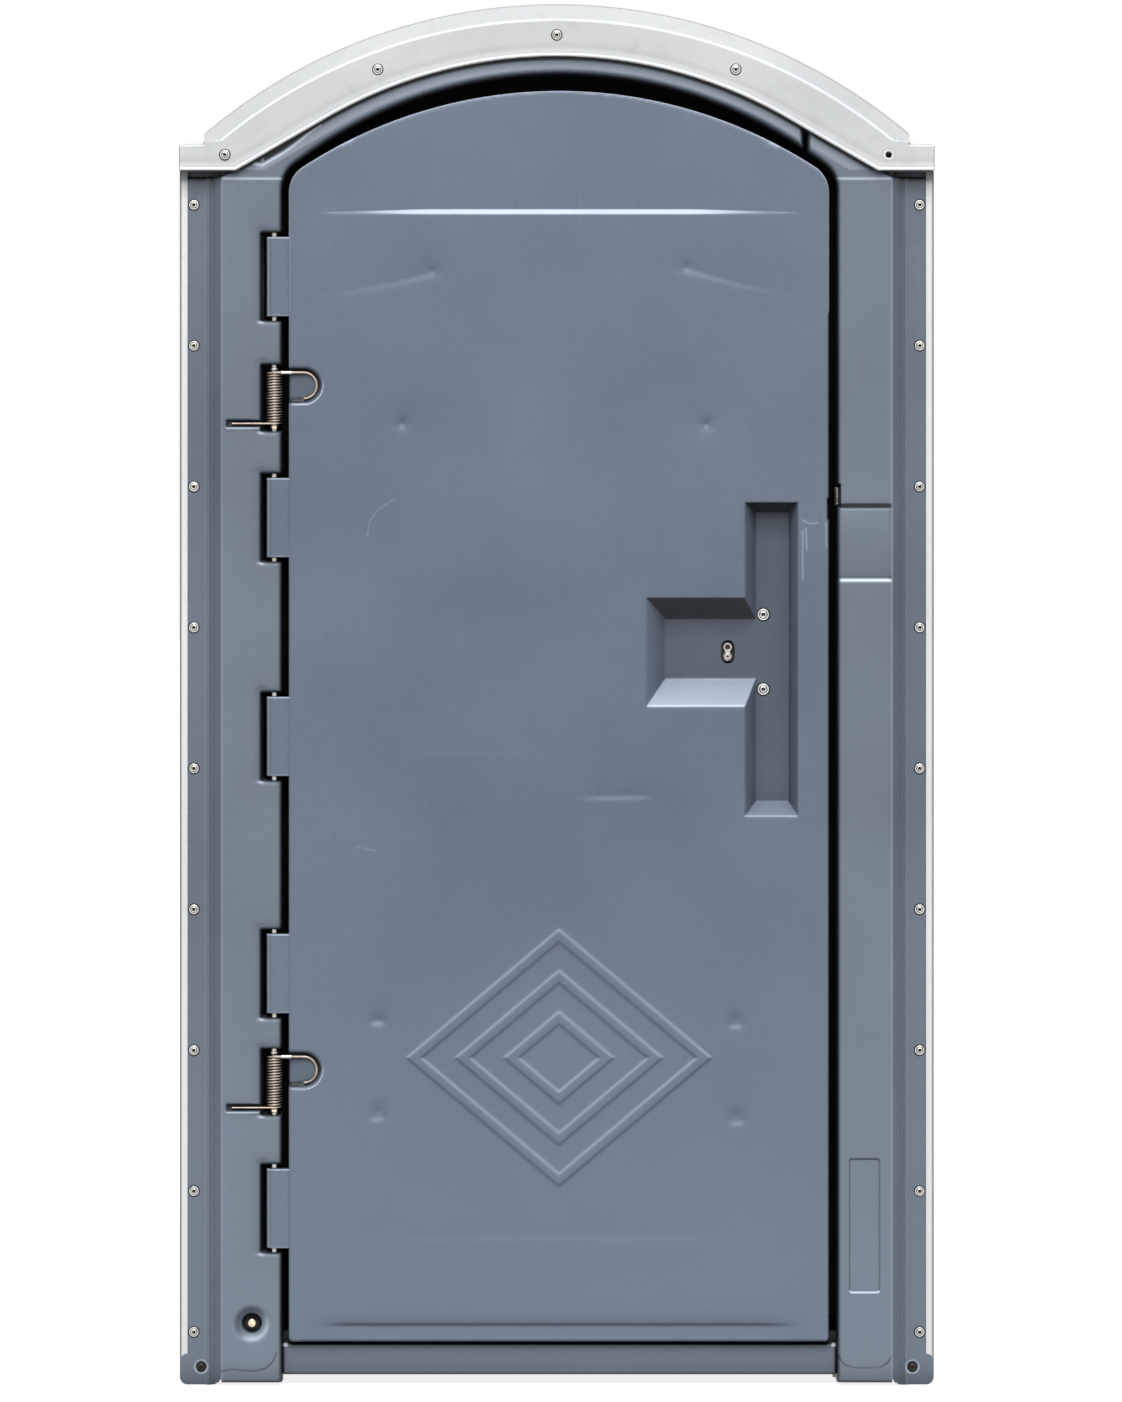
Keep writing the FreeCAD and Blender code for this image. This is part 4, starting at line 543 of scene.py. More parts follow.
def bumped(tree, shader, height, strength, distance, under=None):
    """A bump from a height, laid on an earlier one."""
    node = tree.nodes.new("ShaderNodeBump")
    node.inputs["Strength"].default_value = strength
    node.inputs["Distance"].default_value = distance
    link(tree, height, node.inputs["Height"])
    if under is not None:
        link(tree, under, node.inputs["Normal"])
    link(tree, node.outputs["Normal"], shader.inputs["Normal"])
    return node.outputs["Normal"]


def tinted(colour, share, lift=0.0, most=1.0):
    """A colour scaled and lifted, no part of it above most."""
    return tuple(min(c * share + lift, most) for c in colour)


def hollows(tree, distance, closed, clear):
    """1 in close hollows and 0 in the open, by how much stands within a distance: the mask for painted shade.
    """
    node = tree.nodes.new("ShaderNodeAmbientOcclusion")
    node.samples = 6
    node.inputs["Distance"].default_value = distance
    return ranged(tree, node.outputs["AO"], closed, clear, 1, 0)


def point_shade(tree):
    """The shade that a moulding's points carry, from -1 for a painted highlight to 1 for painted shade."""
    node = tree.nodes.new("ShaderNodeAttribute")
    node.attribute_name = "shade"
    return node.outputs["Fac"]


def material(name):
    """An empty node material with its shader, tree and object coordinates."""
    made = bpy.data.materials.new(name)
    made.use_nodes = True
    tree = made.node_tree
    shader = tree.nodes["Principled BSDF"]
    coords = tree.nodes.new("ShaderNodeTexCoord").outputs["Object"]
    return made, tree, shader, coords


# The first is the band in from an outer edge that gets a dark line of painted shade; the second is the soil's
# colour.
RIM = (0.0034, 0.0020)
SOIL_TONE = (0.105, 0.095, 0.08)


def moulded_plastic(
    name, colour, rough=0.42, mottle=0.08, grain=0.12, wear=0.25, soil=0.16, gloss=0.3, rim=0.0,
):
    """Moulded plastic: cloudy, grained, scratched, rubbed at its edges and soiled low down, paler towards the
    bottom, with painted shade in its hollows and its points' painted shade and painted highlights.
    """
    made, tree, shader, coords = material(name)
    worn = tinted(colour, 1.5, 0.05)
    cloud = ranged(tree, noise(tree, coords, 3.2, 5), 0.36, 0.66)
    tone = mixed(tree, cloud, tinted(colour, 1 - mottle), tinted(colour, 1 + mottle, 0.004))
    speck = ranged(tree, noise(tree, coords, 160, 3), 0.45, 0.62, 0, 0.16)
    tone = mixed(tree, speck, tone, tinted(colour, 0.72))
    upright_lines = ranged(tree, noise(tree, coords, 34, 2, (1.0, 1.0, 0.06)), 0.665, 0.69, 0, 0.07)
    level_lines = ranged(tree, noise(tree, coords, 30, 2, (0.05, 1.0, 1.3)), 0.675, 0.70, 0, 0.06)
    scratches = combined(tree, "MAXIMUM", upright_lines, level_lines)
    patch = ranged(tree, noise(tree, coords, 2.1, 2), 0.48, 0.62)
    tone = mixed(tree, combined(tree, "MULTIPLY", scratches, patch), tone, worn)
    geometry = tree.nodes.new("ShaderNodeNewGeometry")
    edge = ranged(tree, geometry.outputs["Pointiness"], 0.52, 0.60, 0, wear)
    rub = combined(tree, "MULTIPLY", edge, ranged(tree, noise(tree, coords, 22, 4), 0.35, 0.6))
    tone = mixed(tree, rub, tone, worn)
    parts = tree.nodes.new("ShaderNodeSeparateXYZ")
    link(tree, coords, parts.inputs[0])
    low = ranged(tree, parts.outputs["Z"], 0.30, 0.0, 0, soil)
    splash = combined(tree, "MULTIPLY", low, ranged(tree, noise(tree, coords, 9, 6), 0.42, 0.68))
    tone = mixed(tree, splash, tone, SOIL_TONE)
    # Paler towards the bottom.
    paler_low = ranged(tree, parts.outputs["Z"], 0.85, 0.10, 0, 0.8)
    tone = mixed(tree, paler_low, tone, tinted(colour, 1.34, 0, 0.9))
    shade = point_shade(tree)
    # Painted shade from the points' shade, darkening to near black.
    tone = mixed(tree, ranged(tree, shade, 0.0, 1.0, 0.0, 0.97), tone, tinted(colour, 0.03))
    # Painted shade: a dark line along the outer edge past rim.
    if rim:
        side = combined(tree, "ABSOLUTE", parts.outputs["X"], 0)
        rim_shade = ranged(tree, side, rim - RIM[0], rim - RIM[1], 0, 0.85)
        tone = mixed(tree, rim_shade, tone, tinted(colour, 0.2))
    # Painted shade: darker in close hollows.
    tone = mixed(tree, hollows(tree, 0.045, 0.12, 0.93), tone, tinted(colour, 0.08))
    # Painted highlights from the points' negative shade.
    tone = mixed(tree, ranged(tree, shade, 0.0, -1.0, 0.0, 0.9), tone, tinted(colour, 2.4, 0.30))
    link(tree, tone, shader.inputs["Base Color"])
    sheen = ranged(tree, noise(tree, coords, 11, 5), 0.35, 0.65, rough - 0.05, rough + 0.09)
    link(tree, sheen, shader.inputs["Roughness"])
    shader.inputs["Specular IOR Level"].default_value = gloss
    # Gloss taken away along the outer edge, under the painted shade line.
    if rim:
        dull = ranged(tree, side, rim - RIM[0], rim - RIM[1], gloss, 0.0)
        link(tree, dull, shader.inputs["Specular IOR Level"])
    first = bumped(tree, shader, noise(tree, coords, 46, 4), 0.35, 0.0009)
    bumped(tree, shader, noise(tree, coords, 900, 2), grain, 0.0004, first)
    return made


def metal(name, colour, rough, spots, bump=0.1, grain=240, facing_shade=None):
    """Metal with cloudy oxide and small pits, painted shade in its hollows, and perhaps painted shade by how
    far its faces look along an axis.
    """
    made, tree, shader, coords = material(name)
    cloud = ranged(tree, noise(tree, coords, grain, 4), 0.38, 0.66)
    tone = mixed(tree, cloud, colour, spots)
    if facing_shade:
        # Painted shade and painted reflection: faces darkened by how far they look along an axis.
        axis, no_shade, black = facing_shade
        facing = tree.nodes.new("ShaderNodeSeparateXYZ")
        link(tree, tree.nodes.new("ShaderNodeTexCoord").outputs["Normal"], facing.inputs[0])
        turned_to = combined(tree, "ABSOLUTE", facing.outputs[axis], 0)
        tone = mixed(tree, ranged(tree, turned_to, no_shade, black, 0, 0.9), tone, tinted(colour, 0.06))
    # Painted shade: darker in close hollows, such as between a coil's turns.
    tone = mixed(tree, hollows(tree, 0.0025, 0.25, 0.95), tone, tinted(colour, 0.12))
    link(tree, tone, shader.inputs["Base Color"])
    shader.inputs["Metallic"].default_value = 1.0
    gloss = ranged(tree, noise(tree, coords, grain * 1.7, 3), 0.3, 0.7, rough - 0.06, rough + 0.14)
    link(tree, gloss, shader.inputs["Roughness"])
    bumped(tree, shader, noise(tree, coords, grain * 4, 2), bump, 0.0002)
    return made


def roof_plastic(name):
    """Milky roof plastic that lets some light through, greyed by dust in patches, with its points' painted
    shade and painted highlights.
    """
    made, tree, shader, coords = material(name)
    cloud = ranged(tree, noise(tree, coords, 4.5, 5), 0.35, 0.66)
    tone = mixed(tree, cloud, (0.625, 0.632, 0.64), (0.695, 0.70, 0.705))
    dust = ranged(tree, noise(tree, coords, 28, 6), 0.54, 0.72, 0, 0.25)
    tone = mixed(tree, dust, tone, (0.45, 0.46, 0.465))
    shade = point_shade(tree)
    # Painted shade and painted highlights from the points' shade.
    tone = mixed(tree, ranged(tree, shade, 0.0, 1.0, 0.0, 0.95), tone, (0.13, 0.12, 0.11))
    tone = mixed(tree, ranged(tree, shade, 0.0, -1.0, 0.0, 0.95), tone, (0.93, 0.94, 0.95))
    link(tree, tone, shader.inputs["Base Color"])
    gloss = ranged(tree, noise(tree, coords, 14, 4), 0.35, 0.65, 0.44, 0.58)
    link(tree, gloss, shader.inputs["Roughness"])
    shader.inputs["Specular IOR Level"].default_value = 0.16
    shader.inputs["Subsurface Weight"].default_value = 0.15
    shader.inputs["Subsurface Radius"].default_value = (0.012, 0.012, 0.013)
    shader.inputs["Subsurface Scale"].default_value = 0.5
    bumped(tree, shader, noise(tree, coords, 38, 4), 0.3, 0.0008)
    return made


DOOR_TONE = (0.148, 0.180, 0.234)
PLASTICS = {
    "door_grey": dict(colour=DOOR_TONE),
    "door_inner_grey": dict(colour=DOOR_TONE, wear=0.0),
    "frame_grey": dict(colour=(0.171, 0.204, 0.251)),
    # A near-black finish for the door stop lip: painted shade in the gap round the door.
    "gap_shade_black": dict(colour=(0.012, 0.013, 0.015), rough=0.8, wear=0.0, soil=0.0, gloss=0.03),
    "wall_grey": dict(colour=(0.163, 0.196, 0.244)),
    "base_grey": dict(colour=(0.125, 0.150, 0.186), wear=0.0, soil=0.2),
    "tank_grey": dict(colour=(0.20, 0.215, 0.235), rough=0.38, wear=0.0),
    "drain_grey": dict(colour=(0.30, 0.31, 0.32), rough=0.35, wear=0.0, soil=0.1),
    # The trim gets a dark line of painted shade along its outer edge.
    "trim_white": dict(colour=(0.84, 0.85, 0.86), rough=0.36, mottle=0.03, wear=0.0, soil=0.2, rim=TRIM_OUT),
    "white_plastic": dict(colour=(0.74, 0.745, 0.74), rough=0.22, mottle=0.03, wear=0.0, soil=0.1),
    "black_plastic": dict(colour=(0.022, 0.022, 0.024), rough=0.35, wear=0.0, soil=0.1),
    "black_rubber": dict(colour=(0.03, 0.03, 0.032), rough=0.7, wear=0.0, soil=0.2),
}
# For spring_wire and rivet_aluminium the last entry gives an axis and two facings for painted shade: faces
# darkened by how far they look along that axis.
METALS = {
    "spring_wire": ((0.40, 0.33, 0.28), 0.44, (0.30, 0.24, 0.20), 0.03, 60, ("Z", 0.45, 0.80)),
    "plated_steel": ((0.52, 0.50, 0.46), 0.28, (0.38, 0.36, 0.33)),
    "rivet_aluminium": ((0.66, 0.65, 0.63), 0.36, (0.52, 0.51, 0.49), 0.03, 90, ("Y", 0.97, 0.55)),
    "brass": ((0.78, 0.70, 0.54), 0.3, (0.60, 0.50, 0.34)),
    "dark_screw": ((0.045, 0.042, 0.04), 0.4, (0.025, 0.022, 0.02)),
}
finishes = {name: moulded_plastic(name, **looks) for name, looks in PLASTICS.items()}
finishes["roof_white"] = roof_plastic("roof_white")
finishes.update({name: metal(name, *looks) for name, looks in METALS.items()})


# The nodes that stay: each gets its slot's finish, and the listed ones softened edges

for node in nodes.values():
    slot = node.data.materials[0].name
    node.data.materials.clear()
    node.data.materials.append(finishes["door_inner_grey" if slot == "door_grey" else slot])

EDGE = {
    "base_pan": 2, "left_skid": 3, "right_skid": 3, "waste_tank": 2.5, "toilet_seat": 3, "seat_lid": 2,
    "urinal": 2.5, "door_inner_panel": 1.5, "front_left_trim": 0.9, "front_right_trim": 0.9,
    "rear_left_trim": 0.9, "rear_right_trim": 0.9, "vent_cap": 1, "vent_collar": 2, "latch_housing": 1.2,
    "latch_knob": 1, "inner_pull": 1, "coat_hook": 1, "seat_bracket": 1, "paper_bracket": 1, "paper_arm": 1.5,
    "strike_plate": 0.4, "lock_staple": 0.5, "latch_bolt": 0.8, "latch_link": 0.4, "seat_bumpers": 1,
}
for name, size in EDGE.items():
    soften = nodes[name].modifiers.new("soft_edges", "BEVEL")
    soften.width = size / 1000
    soften.segments = 3
    soften.limit_method = "ANGLE"
    soften.angle_limit = math.radians(32)
    soften.harden_normals = True
    nodes[name].data.polygons.foreach_set("use_smooth", [True] * len(nodes[name].data.polygons))


# Door


def recess_walls(x, z):
    """How far down the hand recess's walls a place lies, and if its wall looks up (1) or down (-1)."""
    best = np.full(x.shape, -9.0)
    looks = np.zeros(x.shape)
    for (x0, x1, z0, z1), (left, right, low, top) in ((CHANNEL, CHANNEL_WALLS), (GRIP, GRIP_WALLS)):
        sides = np.stack([(x - x0) / left, (x1 - x) / right, (z - z0) / low, (z1 - z) / top])
        share = sides.min(axis=0)
        way = np.array([0.0, 0.0, 1.0, -1.0])[sides.argmin(axis=0)]
        looks = np.where(share > best, way, looks)
        best = np.maximum(best, share)
    return best, np.where((best > 0) & (best < 1), looks, 0)


def hook_middle(low):
    """Height of the middle of a spring's hook."""
    return low + COIL_TALL - HOOK


def hook_reach(x, z, low):
    """Distance from the P-shaped pocket for a spring's hook, open at the door's edge."""
    middle = hook_middle(low)
    across = PIN_X + DOOR_ARM
    return np.minimum(
        box_reach(x, z, LEAF_LEFT - 60, across, middle - HOOK_POCKET, middle + HOOK_POCKET),
        disc_reach(x, z, across, middle, HOOK_POCKET),
    )


def ledge_share(x):
    """How far the ledge over the door's field has opened: not at all at its pointed ends."""
    return smooth((x - LEDGE[0]) / 170) * smooth((LEDGE[1] - x) / 170)


LOZENGE = (225.0, 190.0)
LOZENGE_UP = 486.0
LOZENGE_BAND = 7.0


def lozenge_height(x, z):
    """Three nested lozenges of thin raised bands."""
    total = np.zeros_like(x)
    for share in (1, 0.68, 0.36):
        wide, tall = LOZENGE[0] * share, LOZENGE[1] * share
        slant = math.hypot(wide, tall)
        away = (np.abs(x - LEAF_MIDDLE) * tall + np.abs(z - LOZENGE_UP) * wide - wide * tall) / slant
        line = np.abs(away + LOZENGE_BAND) - LOZENGE_BAND
        total = np.maximum(total, 2.0 * (1 - rise(line + 1.2, 2.4, 0.8)))
    return total


ROUND_DENTS = ((-229, 1425), (221, 1424))
PINCHED_DENTS = ((-265, 539, -2), (265, 539, 3), (-265, 403, 4), (266, 397, 4))
PULLED_DENTS = (((-342, 1618), (-184, 1650)), ((342, 1620), (192, 1656)))
LEVEL_CREASES = (((20, 874), (160, 876), 16, 2.4, 0.0, 6.0), ((-330, 221), (325, 222), 20, 0.9))
EDGE_NOTCH = (LEAF_RIGHT - 3, LEAF_RIGHT + 9, 1282, 1314)


def door_face(x, z):
    """The front of the door skin."""
    inside = -leaf_reach(x, z)
    side = np.minimum(x - LEAF_LEFT, LEAF_RIGHT - x)
    field = smooth(side / 45)
    share = ledge_share(x)
    top = rise(LEDGE_UP + LEDGE_DROP * share - z, 1.6 + 7 * share, 0.8)
    foot = rise(z - FIELD_FOOT, 4.0, 1.0)
    ends = smooth((side - 38) / 60)
    whole = smooth((z - 62) / 60) * smooth((1800 - z) / 160)
    proud = FIELD * field * (foot * top * ends + whole * (1 - ends))
    y = FRONT - np.clip(proud, 0, FIELD) + waves(x, z, 190, 0.14)
    y -= lozenge_height(x, z)
    y += edge_fall(inside, 5.0)
    for x0, z0 in ROUND_DENTS:
        y = y + dimple(x, z, x0, z0, 15, 3.8) + dimple(x, z, x0, z0, 44, 1.7)
    for x0, z0, sag in PINCHED_DENTS:
        y += crease(x, z, (x0 - 17, z0), (x0 + 17, z0), 20, 2.6, 0.0, 6.0, sag)
        y += dimple(x, z, x0, z0 + 4, 18, 2.4)
    for start, end in PULLED_DENTS:
        y = y + crease(x, z, start, end, 24, 2.1, 0.7, 7.0, 3) + dimple(x, z, *end, 15, 4.0)
        y = y + dimple(x, z, end[0], end[1] + 12, 46, 1.3) + dimple(x, z, *start, 14, 0.8)
    for line in LEVEL_CREASES:
        y += crease(x, z, *line)
    y += RECESS_DEEP * rise(recess_walls(x, z)[0], 1, 0.045)
    for low in COILS:
        y += 8 * rise(-hook_reach(x, z, low), 5.0, 1.2)
    return y + 14 * rise(-box_reach(x, z, *EDGE_NOTCH, 1), 1.2, 0.4)


SCRATCHES = (
    [(-281, 1258), (-276, 1282), (-262, 1299), (-242, 1312)],
    [(-295, 798), (-268, 792)],
    [(363, 1282), (375, 1276), (386, 1278)],
    [(363.6, 1267), (364, 1193)],
    [(368.5, 1270), (370, 1238)],
    [(398.5, 1278), (399, 1240)],
)


def door_shade(x, z):
    """Painted shade in the door's hollows and gaps, painted highlights along its up-facing walls, ledge and
    edges, and pale scratches.
    """
    share, looks = recess_walls(x, z)
    depth = np.clip(share, 0, 1)
    # Painted shade: darker down the hand recess, near black on its down-facing walls.
    total = 0.36 * depth ** 2
    total = np.where(looks < 0, 0.97 - 0.12 * depth, total)
    # Painted highlights on the up-facing walls of the recess.
    lift = np.where(z > CHANNEL[2] + 80, 0.22 + 0.26 * (1 - depth), 0.10)
    total = np.where(looks > 0, -lift - 0.5 * smooth(1 - depth * 8), total)
    # Painted shade round each hook in its pocket, and a painted highlight on the pocket's lip.
    for low in COILS:
        reach = hook_reach(x, z, low)
        slant = (x - PIN_X - DOOR_ARM) * 0.6 - (z - hook_middle(low)) * 0.8
        shadow = 0.28 + 0.67 * band(reach, -9, -0.5, 3) * smooth(1.5 - slant / 20)
        total = darker(total, shadow * smooth(-reach / 3))
        total -= 0.9 * band(reach, 0.2, 1.6, 1.2) * smooth(slant / 20) * (x > LEAF_LEFT + 4)
    # Painted highlight along the ledge.
    lit = ledge_share(x)
    total -= 0.9 * lit * band(z, LEDGE_UP - 2.6 * lit, LEDGE_UP + LEDGE_DROP * lit, 1.5)
    # Painted shade along and above the field's foot.
    over = z - FIELD_FOOT - 2
    under = np.where(over > 0, np.exp(-np.maximum(over, 0) / 9), np.exp(-(over / 1.6) ** 2))
    total += 0.42 * under * smooth((x + 366) / 60) * smooth((360 - x) / 60)
    for line in SCRATCHES:
        total -= crack(x, z, line, 1.0, 0.40 if line[0][0] > 0 else 0.17)
    # Painted light on the lozenges: paler on their upper edges, darker on their lower ones.
    total += 0.5 * (lozenge_height(x, z + 0.6) - lozenge_height(x, z - 0.6))
    # Along the outline: painted highlights on the arch and the hinge side, painted shade on the latch side
    # and the foot.
    rim = smooth(1 + leaf_reach(x, z) / 3.0)
    arch = z > LEAF_CROWN - 330
    tone = np.where(arch, -0.85, np.where(x < -380, -0.45, np.where(x > 380, 0.6, 0.2)))
    return total + tone * rim


def window_reach(x, z):
    """Distance from the obround window in the recess's floor."""
    across, half, up = WINDOW[0], WINDOW[1] / 2, WINDOW[2] / 2
    return box_reach(x, z, across - half, across + half, LATCH_UP - up, LATCH_UP + up, half)


door_across = grid_lines(
    LEAF_LEFT - 1, LEAF_RIGHT + 1, 5,
    [(LEAF_LEFT - 1, LEAF_LEFT + 6, 1.1), (LEAF_LEFT + 6, LEAF_LEFT + 58, 1.9),
     (GRIP[0] - 4, GRIP[0] + 34, 2.2), (WINDOW[0] - 16, WINDOW[0] + 16, 1.6),
     (CHANNEL[0] - 4, CHANNEL[0] + 22, 1.7), (CHANNEL[1] - 19, CHANNEL[1] + 3, 1.6),
     (CHANNEL[1] + 3, LEAF_RIGHT + 1, 1.2), (-300, 232, 2.7), (-284, -240, 1.5), (214, 230, 1.8)],
)
door_up = grid_lines(
    LEAF_LOW - 1, LEAF_CROWN + 1, 5,
    [(LEAF_LOW - 1, LEAF_LOW + 8, 1.2), (FIELD_FOOT - 5, FIELD_FOOT + 7, 1.2),
     (LOZENGE_UP - 196, LOZENGE_UP + 194, 2.8), (788, 802, 1.4), (1414, 1434, 1.8), (1600, 1660, 2.2),
     (CHANNEL[2] - 3, CHANNEL[2] + 23, 1.6), (GRIP[2] - 5, GRIP[2] + 43, 1.8),
     (LATCH_UP - 20, LATCH_UP + 20, 1.6), (GRIP[3] - 35, GRIP[3] + 3, 1.8),
     (CHANNEL[3] - 52, CHANNEL[3] + 10, 1.4), (LEDGE_UP - 7, LEDGE_UP + 7, 0.8),
     (LEDGE_UP + 7, LEAF_CROWN + 1, 2.2), *((low + 22, low + 88, 1.9) for low in COILS)],
)


def door_outline(x, z):
    return np.maximum(leaf_reach(x, z), -window_reach(x, z))


new_piece(
    "door_moulding", moulding(door_outline, door_face, DOOR_BACK - 3.2, door_across, door_up, door_shade),
    "door", "door_grey", ("door_skin", "hand_recess"),
)

KNUCKLE_RADIUS = 12.0


def knuckle(middle):
    """A hinge knuckle of the door: a round back about the rod, let into the leaf's edge."""
    low, high = middle - KNUCKLE_TALL / 2, middle + KNUCKLE_TALL / 2

    def outline(x, z):
        return box_reach(x, z, PIN_X - KNUCKLE_RADIUS, LEAF_LEFT + 4, low, high, 2.5)

    def face(x, z):
        round_side = np.sqrt(np.maximum(KNUCKLE_RADIUS ** 2 - np.minimum(x - PIN_X, 0) ** 2, 0))
        ends = np.minimum(z - low, high - z)
        return PIN_Y - round_side + edge_fall(ends, 2.5) * 0.9 + 0.6 * rise(x - LEAF_LEFT + 1.6, 1.2, 0.4)

    # Painted highlights along the knuckle's edges.
    def shade(x, z):
        ends = np.minimum(z - low, high - z)
        lit = smooth(1 - np.abs(x - PIN_X + 8.5) / 2.0) + smooth(1 - np.abs(ends - 1.6) / 1.6)
        return -0.55 * np.clip(lit, 0, 1)

    left, right = PIN_X - KNUCKLE_RADIUS - 1, LEAF_LEFT + 5
    across = grid_lines(left, right, 3, [(left, left + 7, 0.8), (right - 8, right, 0.8)])
    up = grid_lines(low - 1, high + 1, 8, [(low - 1, low + 4, 0.8), (high - 4, high + 1, 0.8)])
    return moulding(outline, face, PIN_Y + 9, across, up, shade)


knuckles = joined(*[knuckle(middle) for middle in KNUCKLES])
new_piece("hinge_knuckles", knuckles, "door", "door_grey", ("door_skin",))


# Front frame

POST_RUN = np.array([
    (0, 14), (FLANGE_WIDE, 14), (FLANGE_WIDE + 2, 11), (FLANGE_BEAD, 11), (SLOPE[0], 14), (SLOPE[1], 0),
    (400, 0),
], float)


def profile_height(distance, run, soft):
    """A profile of straight runs, its corners softened."""
    total = np.zeros_like(distance)
    for share in (-1, -0.5, 0, 0.5, 1):
        total += np.interp(distance + share * soft, run[:, 0], run[:, 1])
    return total / 5


NOTCH_SPANS = [(middle - KNUCKLE_TALL / 2 - 7, middle + KNUCKLE_TALL / 2 + 7) for middle in KNUCKLES]
NOTCH_SPANS += [(low - 12, low + COIL_TALL + 12) for low in COILS]


def arm_slot(x, z, low):
    """Distance from the slot for a spring's lower arm."""
    return box_reach(x, z, PIN_X - JAMB_ARM - 8.5, PIN_X - 15, low - 5.5, low + 5.5, 2)


def notch_depth(x, z):
    """Depth of the hinge-side notches, with the slots for the springs' lower arms."""
    total = np.zeros_like(x)
    for low, high in NOTCH_SPANS:
        reach = box_reach(x, z, PIN_X - NOTCH, OPEN_LEFT + 60, low, high, 3)
        total = np.maximum(total, 28 * rise(-reach - 0.5, 2.5, 1.8))
    for low in COILS:
        total = np.maximum(total, 8 * rise(-arm_slot(x, z, low), 1.5, 1.0))
    return total


def notch_reach(x, z):
    """Distance from the openings in the notches' floors, which let the knuckles and coils turn."""
    total = np.full(x.shape, 900.0)
    for low, high in NOTCH_SPANS:
        floor = box_reach(x, z, PIN_X - NOTCH + 3.4, OPEN_LEFT + 60, low + 3.4, high - 3.4, 1)
        total = np.minimum(total, floor)
    return total


def dish_depth(x, z):
    """The round dish near the foot of the hinge post, with the hole for its bolt."""
    away = -disc_reach(x, z, *DISH, 27)
    return 6 * rise(away, 10, 2.5) + 14 * rise(away - 12.5, 1.5, 0.8)


def frame_shade(x, z):
    """Painted shade at the side of the opening, on the slopes, under the roof's bead and in the seam; painted
    highlights along ridges, lips and the header.
    """
    total = 0.97 * smooth(1 - opening_reach(x, z) / 6.5)
    from_edge = WALL_OUT - np.abs(x)
    total = darker(total, 0.16 * (from_edge < SLOPE[1] - 1))
    total = darker(total, 0.26 * band(from_edge, FLANGE_WIDE + 3, SLOPE[1] - 2, 2.0))
    flange_line = band(from_edge, FLANGE_WIDE - 1.4, FLANGE_WIDE + 1.4, 1.4)
    slope_line = band(from_edge, SLOPE[1] - 1, SLOPE[1] + 1, 1.6)
    total -= 0.22 * (flange_line + slope_line)
    total -= 0.10 * band(from_edge, SLOPE[0] - 1.5, SLOPE[0], 1.4)
    above = bead_reach(x, z)
    face = (z > POST_TOP + 10) * (np.abs(x) < HEAD_SIDE)
    total -= 0.24 * band(above, -19, -4, 3.0) * face * smooth((opening_reach(x, z) - 6) / 2)
    total = darker(total, 0.9 * smooth((above + 3.6) / 1.6) * face)
    clear = (above < -6) | (np.abs(x) > HEAD_SIDE)
    total -= 0.85 * band(z, POST_TOP - 4.5, POST_TOP - 1.5, 2.0) * (from_edge > SLOPE[1] + 1) * clear
    wedge = 9 * smooth((x + 452) / 18) * smooth((-340 - x) / 70)
    total -= 0.8 * band(above + wedge, -4.5, -1.5, 2.0) * (wedge > 0.4) * (z > POST_TOP - 2)
    total = darker(total, 0.97 * smooth((above + wedge) / 2.0) * (wedge > 0.4) * (np.abs(x + 436) > 2.6))
    gap = np.minimum(np.abs(x - SEAM[0]), np.abs(x - SEAM[1]))
    return darker(total, 0.95 * smooth(1.2 - gap / 5.0) * (z > HEADER_LOW) * (x > 300))


LEFT_CRACK = [(-496, 22), (-482, 24.5), (-469, 23.5), (-447, 22), (-430, 27), (-420, 37), (-415, 50)]
RIGHT_CRACK = [(417, 46), (424, 34), (432, 29), (451, 26.5), (478, 27.5), (489, 34), (494, 43)]


def foot_shade(x, z, screw, line):
    """A post's foot: painted shade in the hole and a painted highlight on the rim about its screw, and its
    crack as a line of painted shade under a painted highlight on its lip.
    """
    away = disc_reach(x, z, *screw, 0)
    hole = 0.9 * smooth((8.0 - away) / 1.5) - 0.75 * band(away, 8.4, 10.8, 1.4)
    return hole - crack(x, z - 1.4, line, 1.3, 0.35) + crack(x, z + 1.0, line, 1.3, 0.9)


def foot_relief(x, z, screw, line):
    """A post's foot: the shallow dimple about its screw, and its crack."""
    return crack(x, z, line, 1.6, 1.2) + 1.6 * rise(9.5 - disc_reach(x, z, *screw, 0), 3, 1.2)


# Painted shade in the notches, above their corners and on the dish's upper side; painted highlights on the
# notches' lower corners, under the arm slots and on the dish's lower rim.
def left_shade(x, z):
    total = darker(frame_shade(x, z), np.clip(notch_depth(x, z) / 8, 0, 1))
    for low, high in NOTCH_SPANS:
        edge = PIN_X - NOTCH
        lip = np.exp(-((x - edge - 1) / 6) ** 2 - ((z - low + 1.4) / 2.4) ** 2)
        dent = np.exp(-((x - edge - 2) / 8) ** 2 - ((z - high - 4) / 5) ** 2)
        total = total - 0.9 * lip + 0.4 * dent * (notch_depth(x, z) < 1)
    beside = (x > PIN_X - JAMB_ARM - 8) * (x < PIN_X - NOTCH - 1)
    for low in COILS:
        total -= 1.0 * band(z, low - 8.2, low - 6.0, 1.2) * beside
    away = disc_reach(x, z, *DISH, 0)
    slant = (z - DISH[1] - (x - DISH[0])) / 40
    total = total + 0.95 * smooth((15.2 - away) / 2) + 0.5 * band(away, 15, 25, 5) * smooth(0.5 + slant)
    total -= 0.45 * band(away, 20, 26, 5) * smooth(0.3 - slant)
    return total + foot_shade(x, z, LEFT_SCREW, LEFT_CRACK)


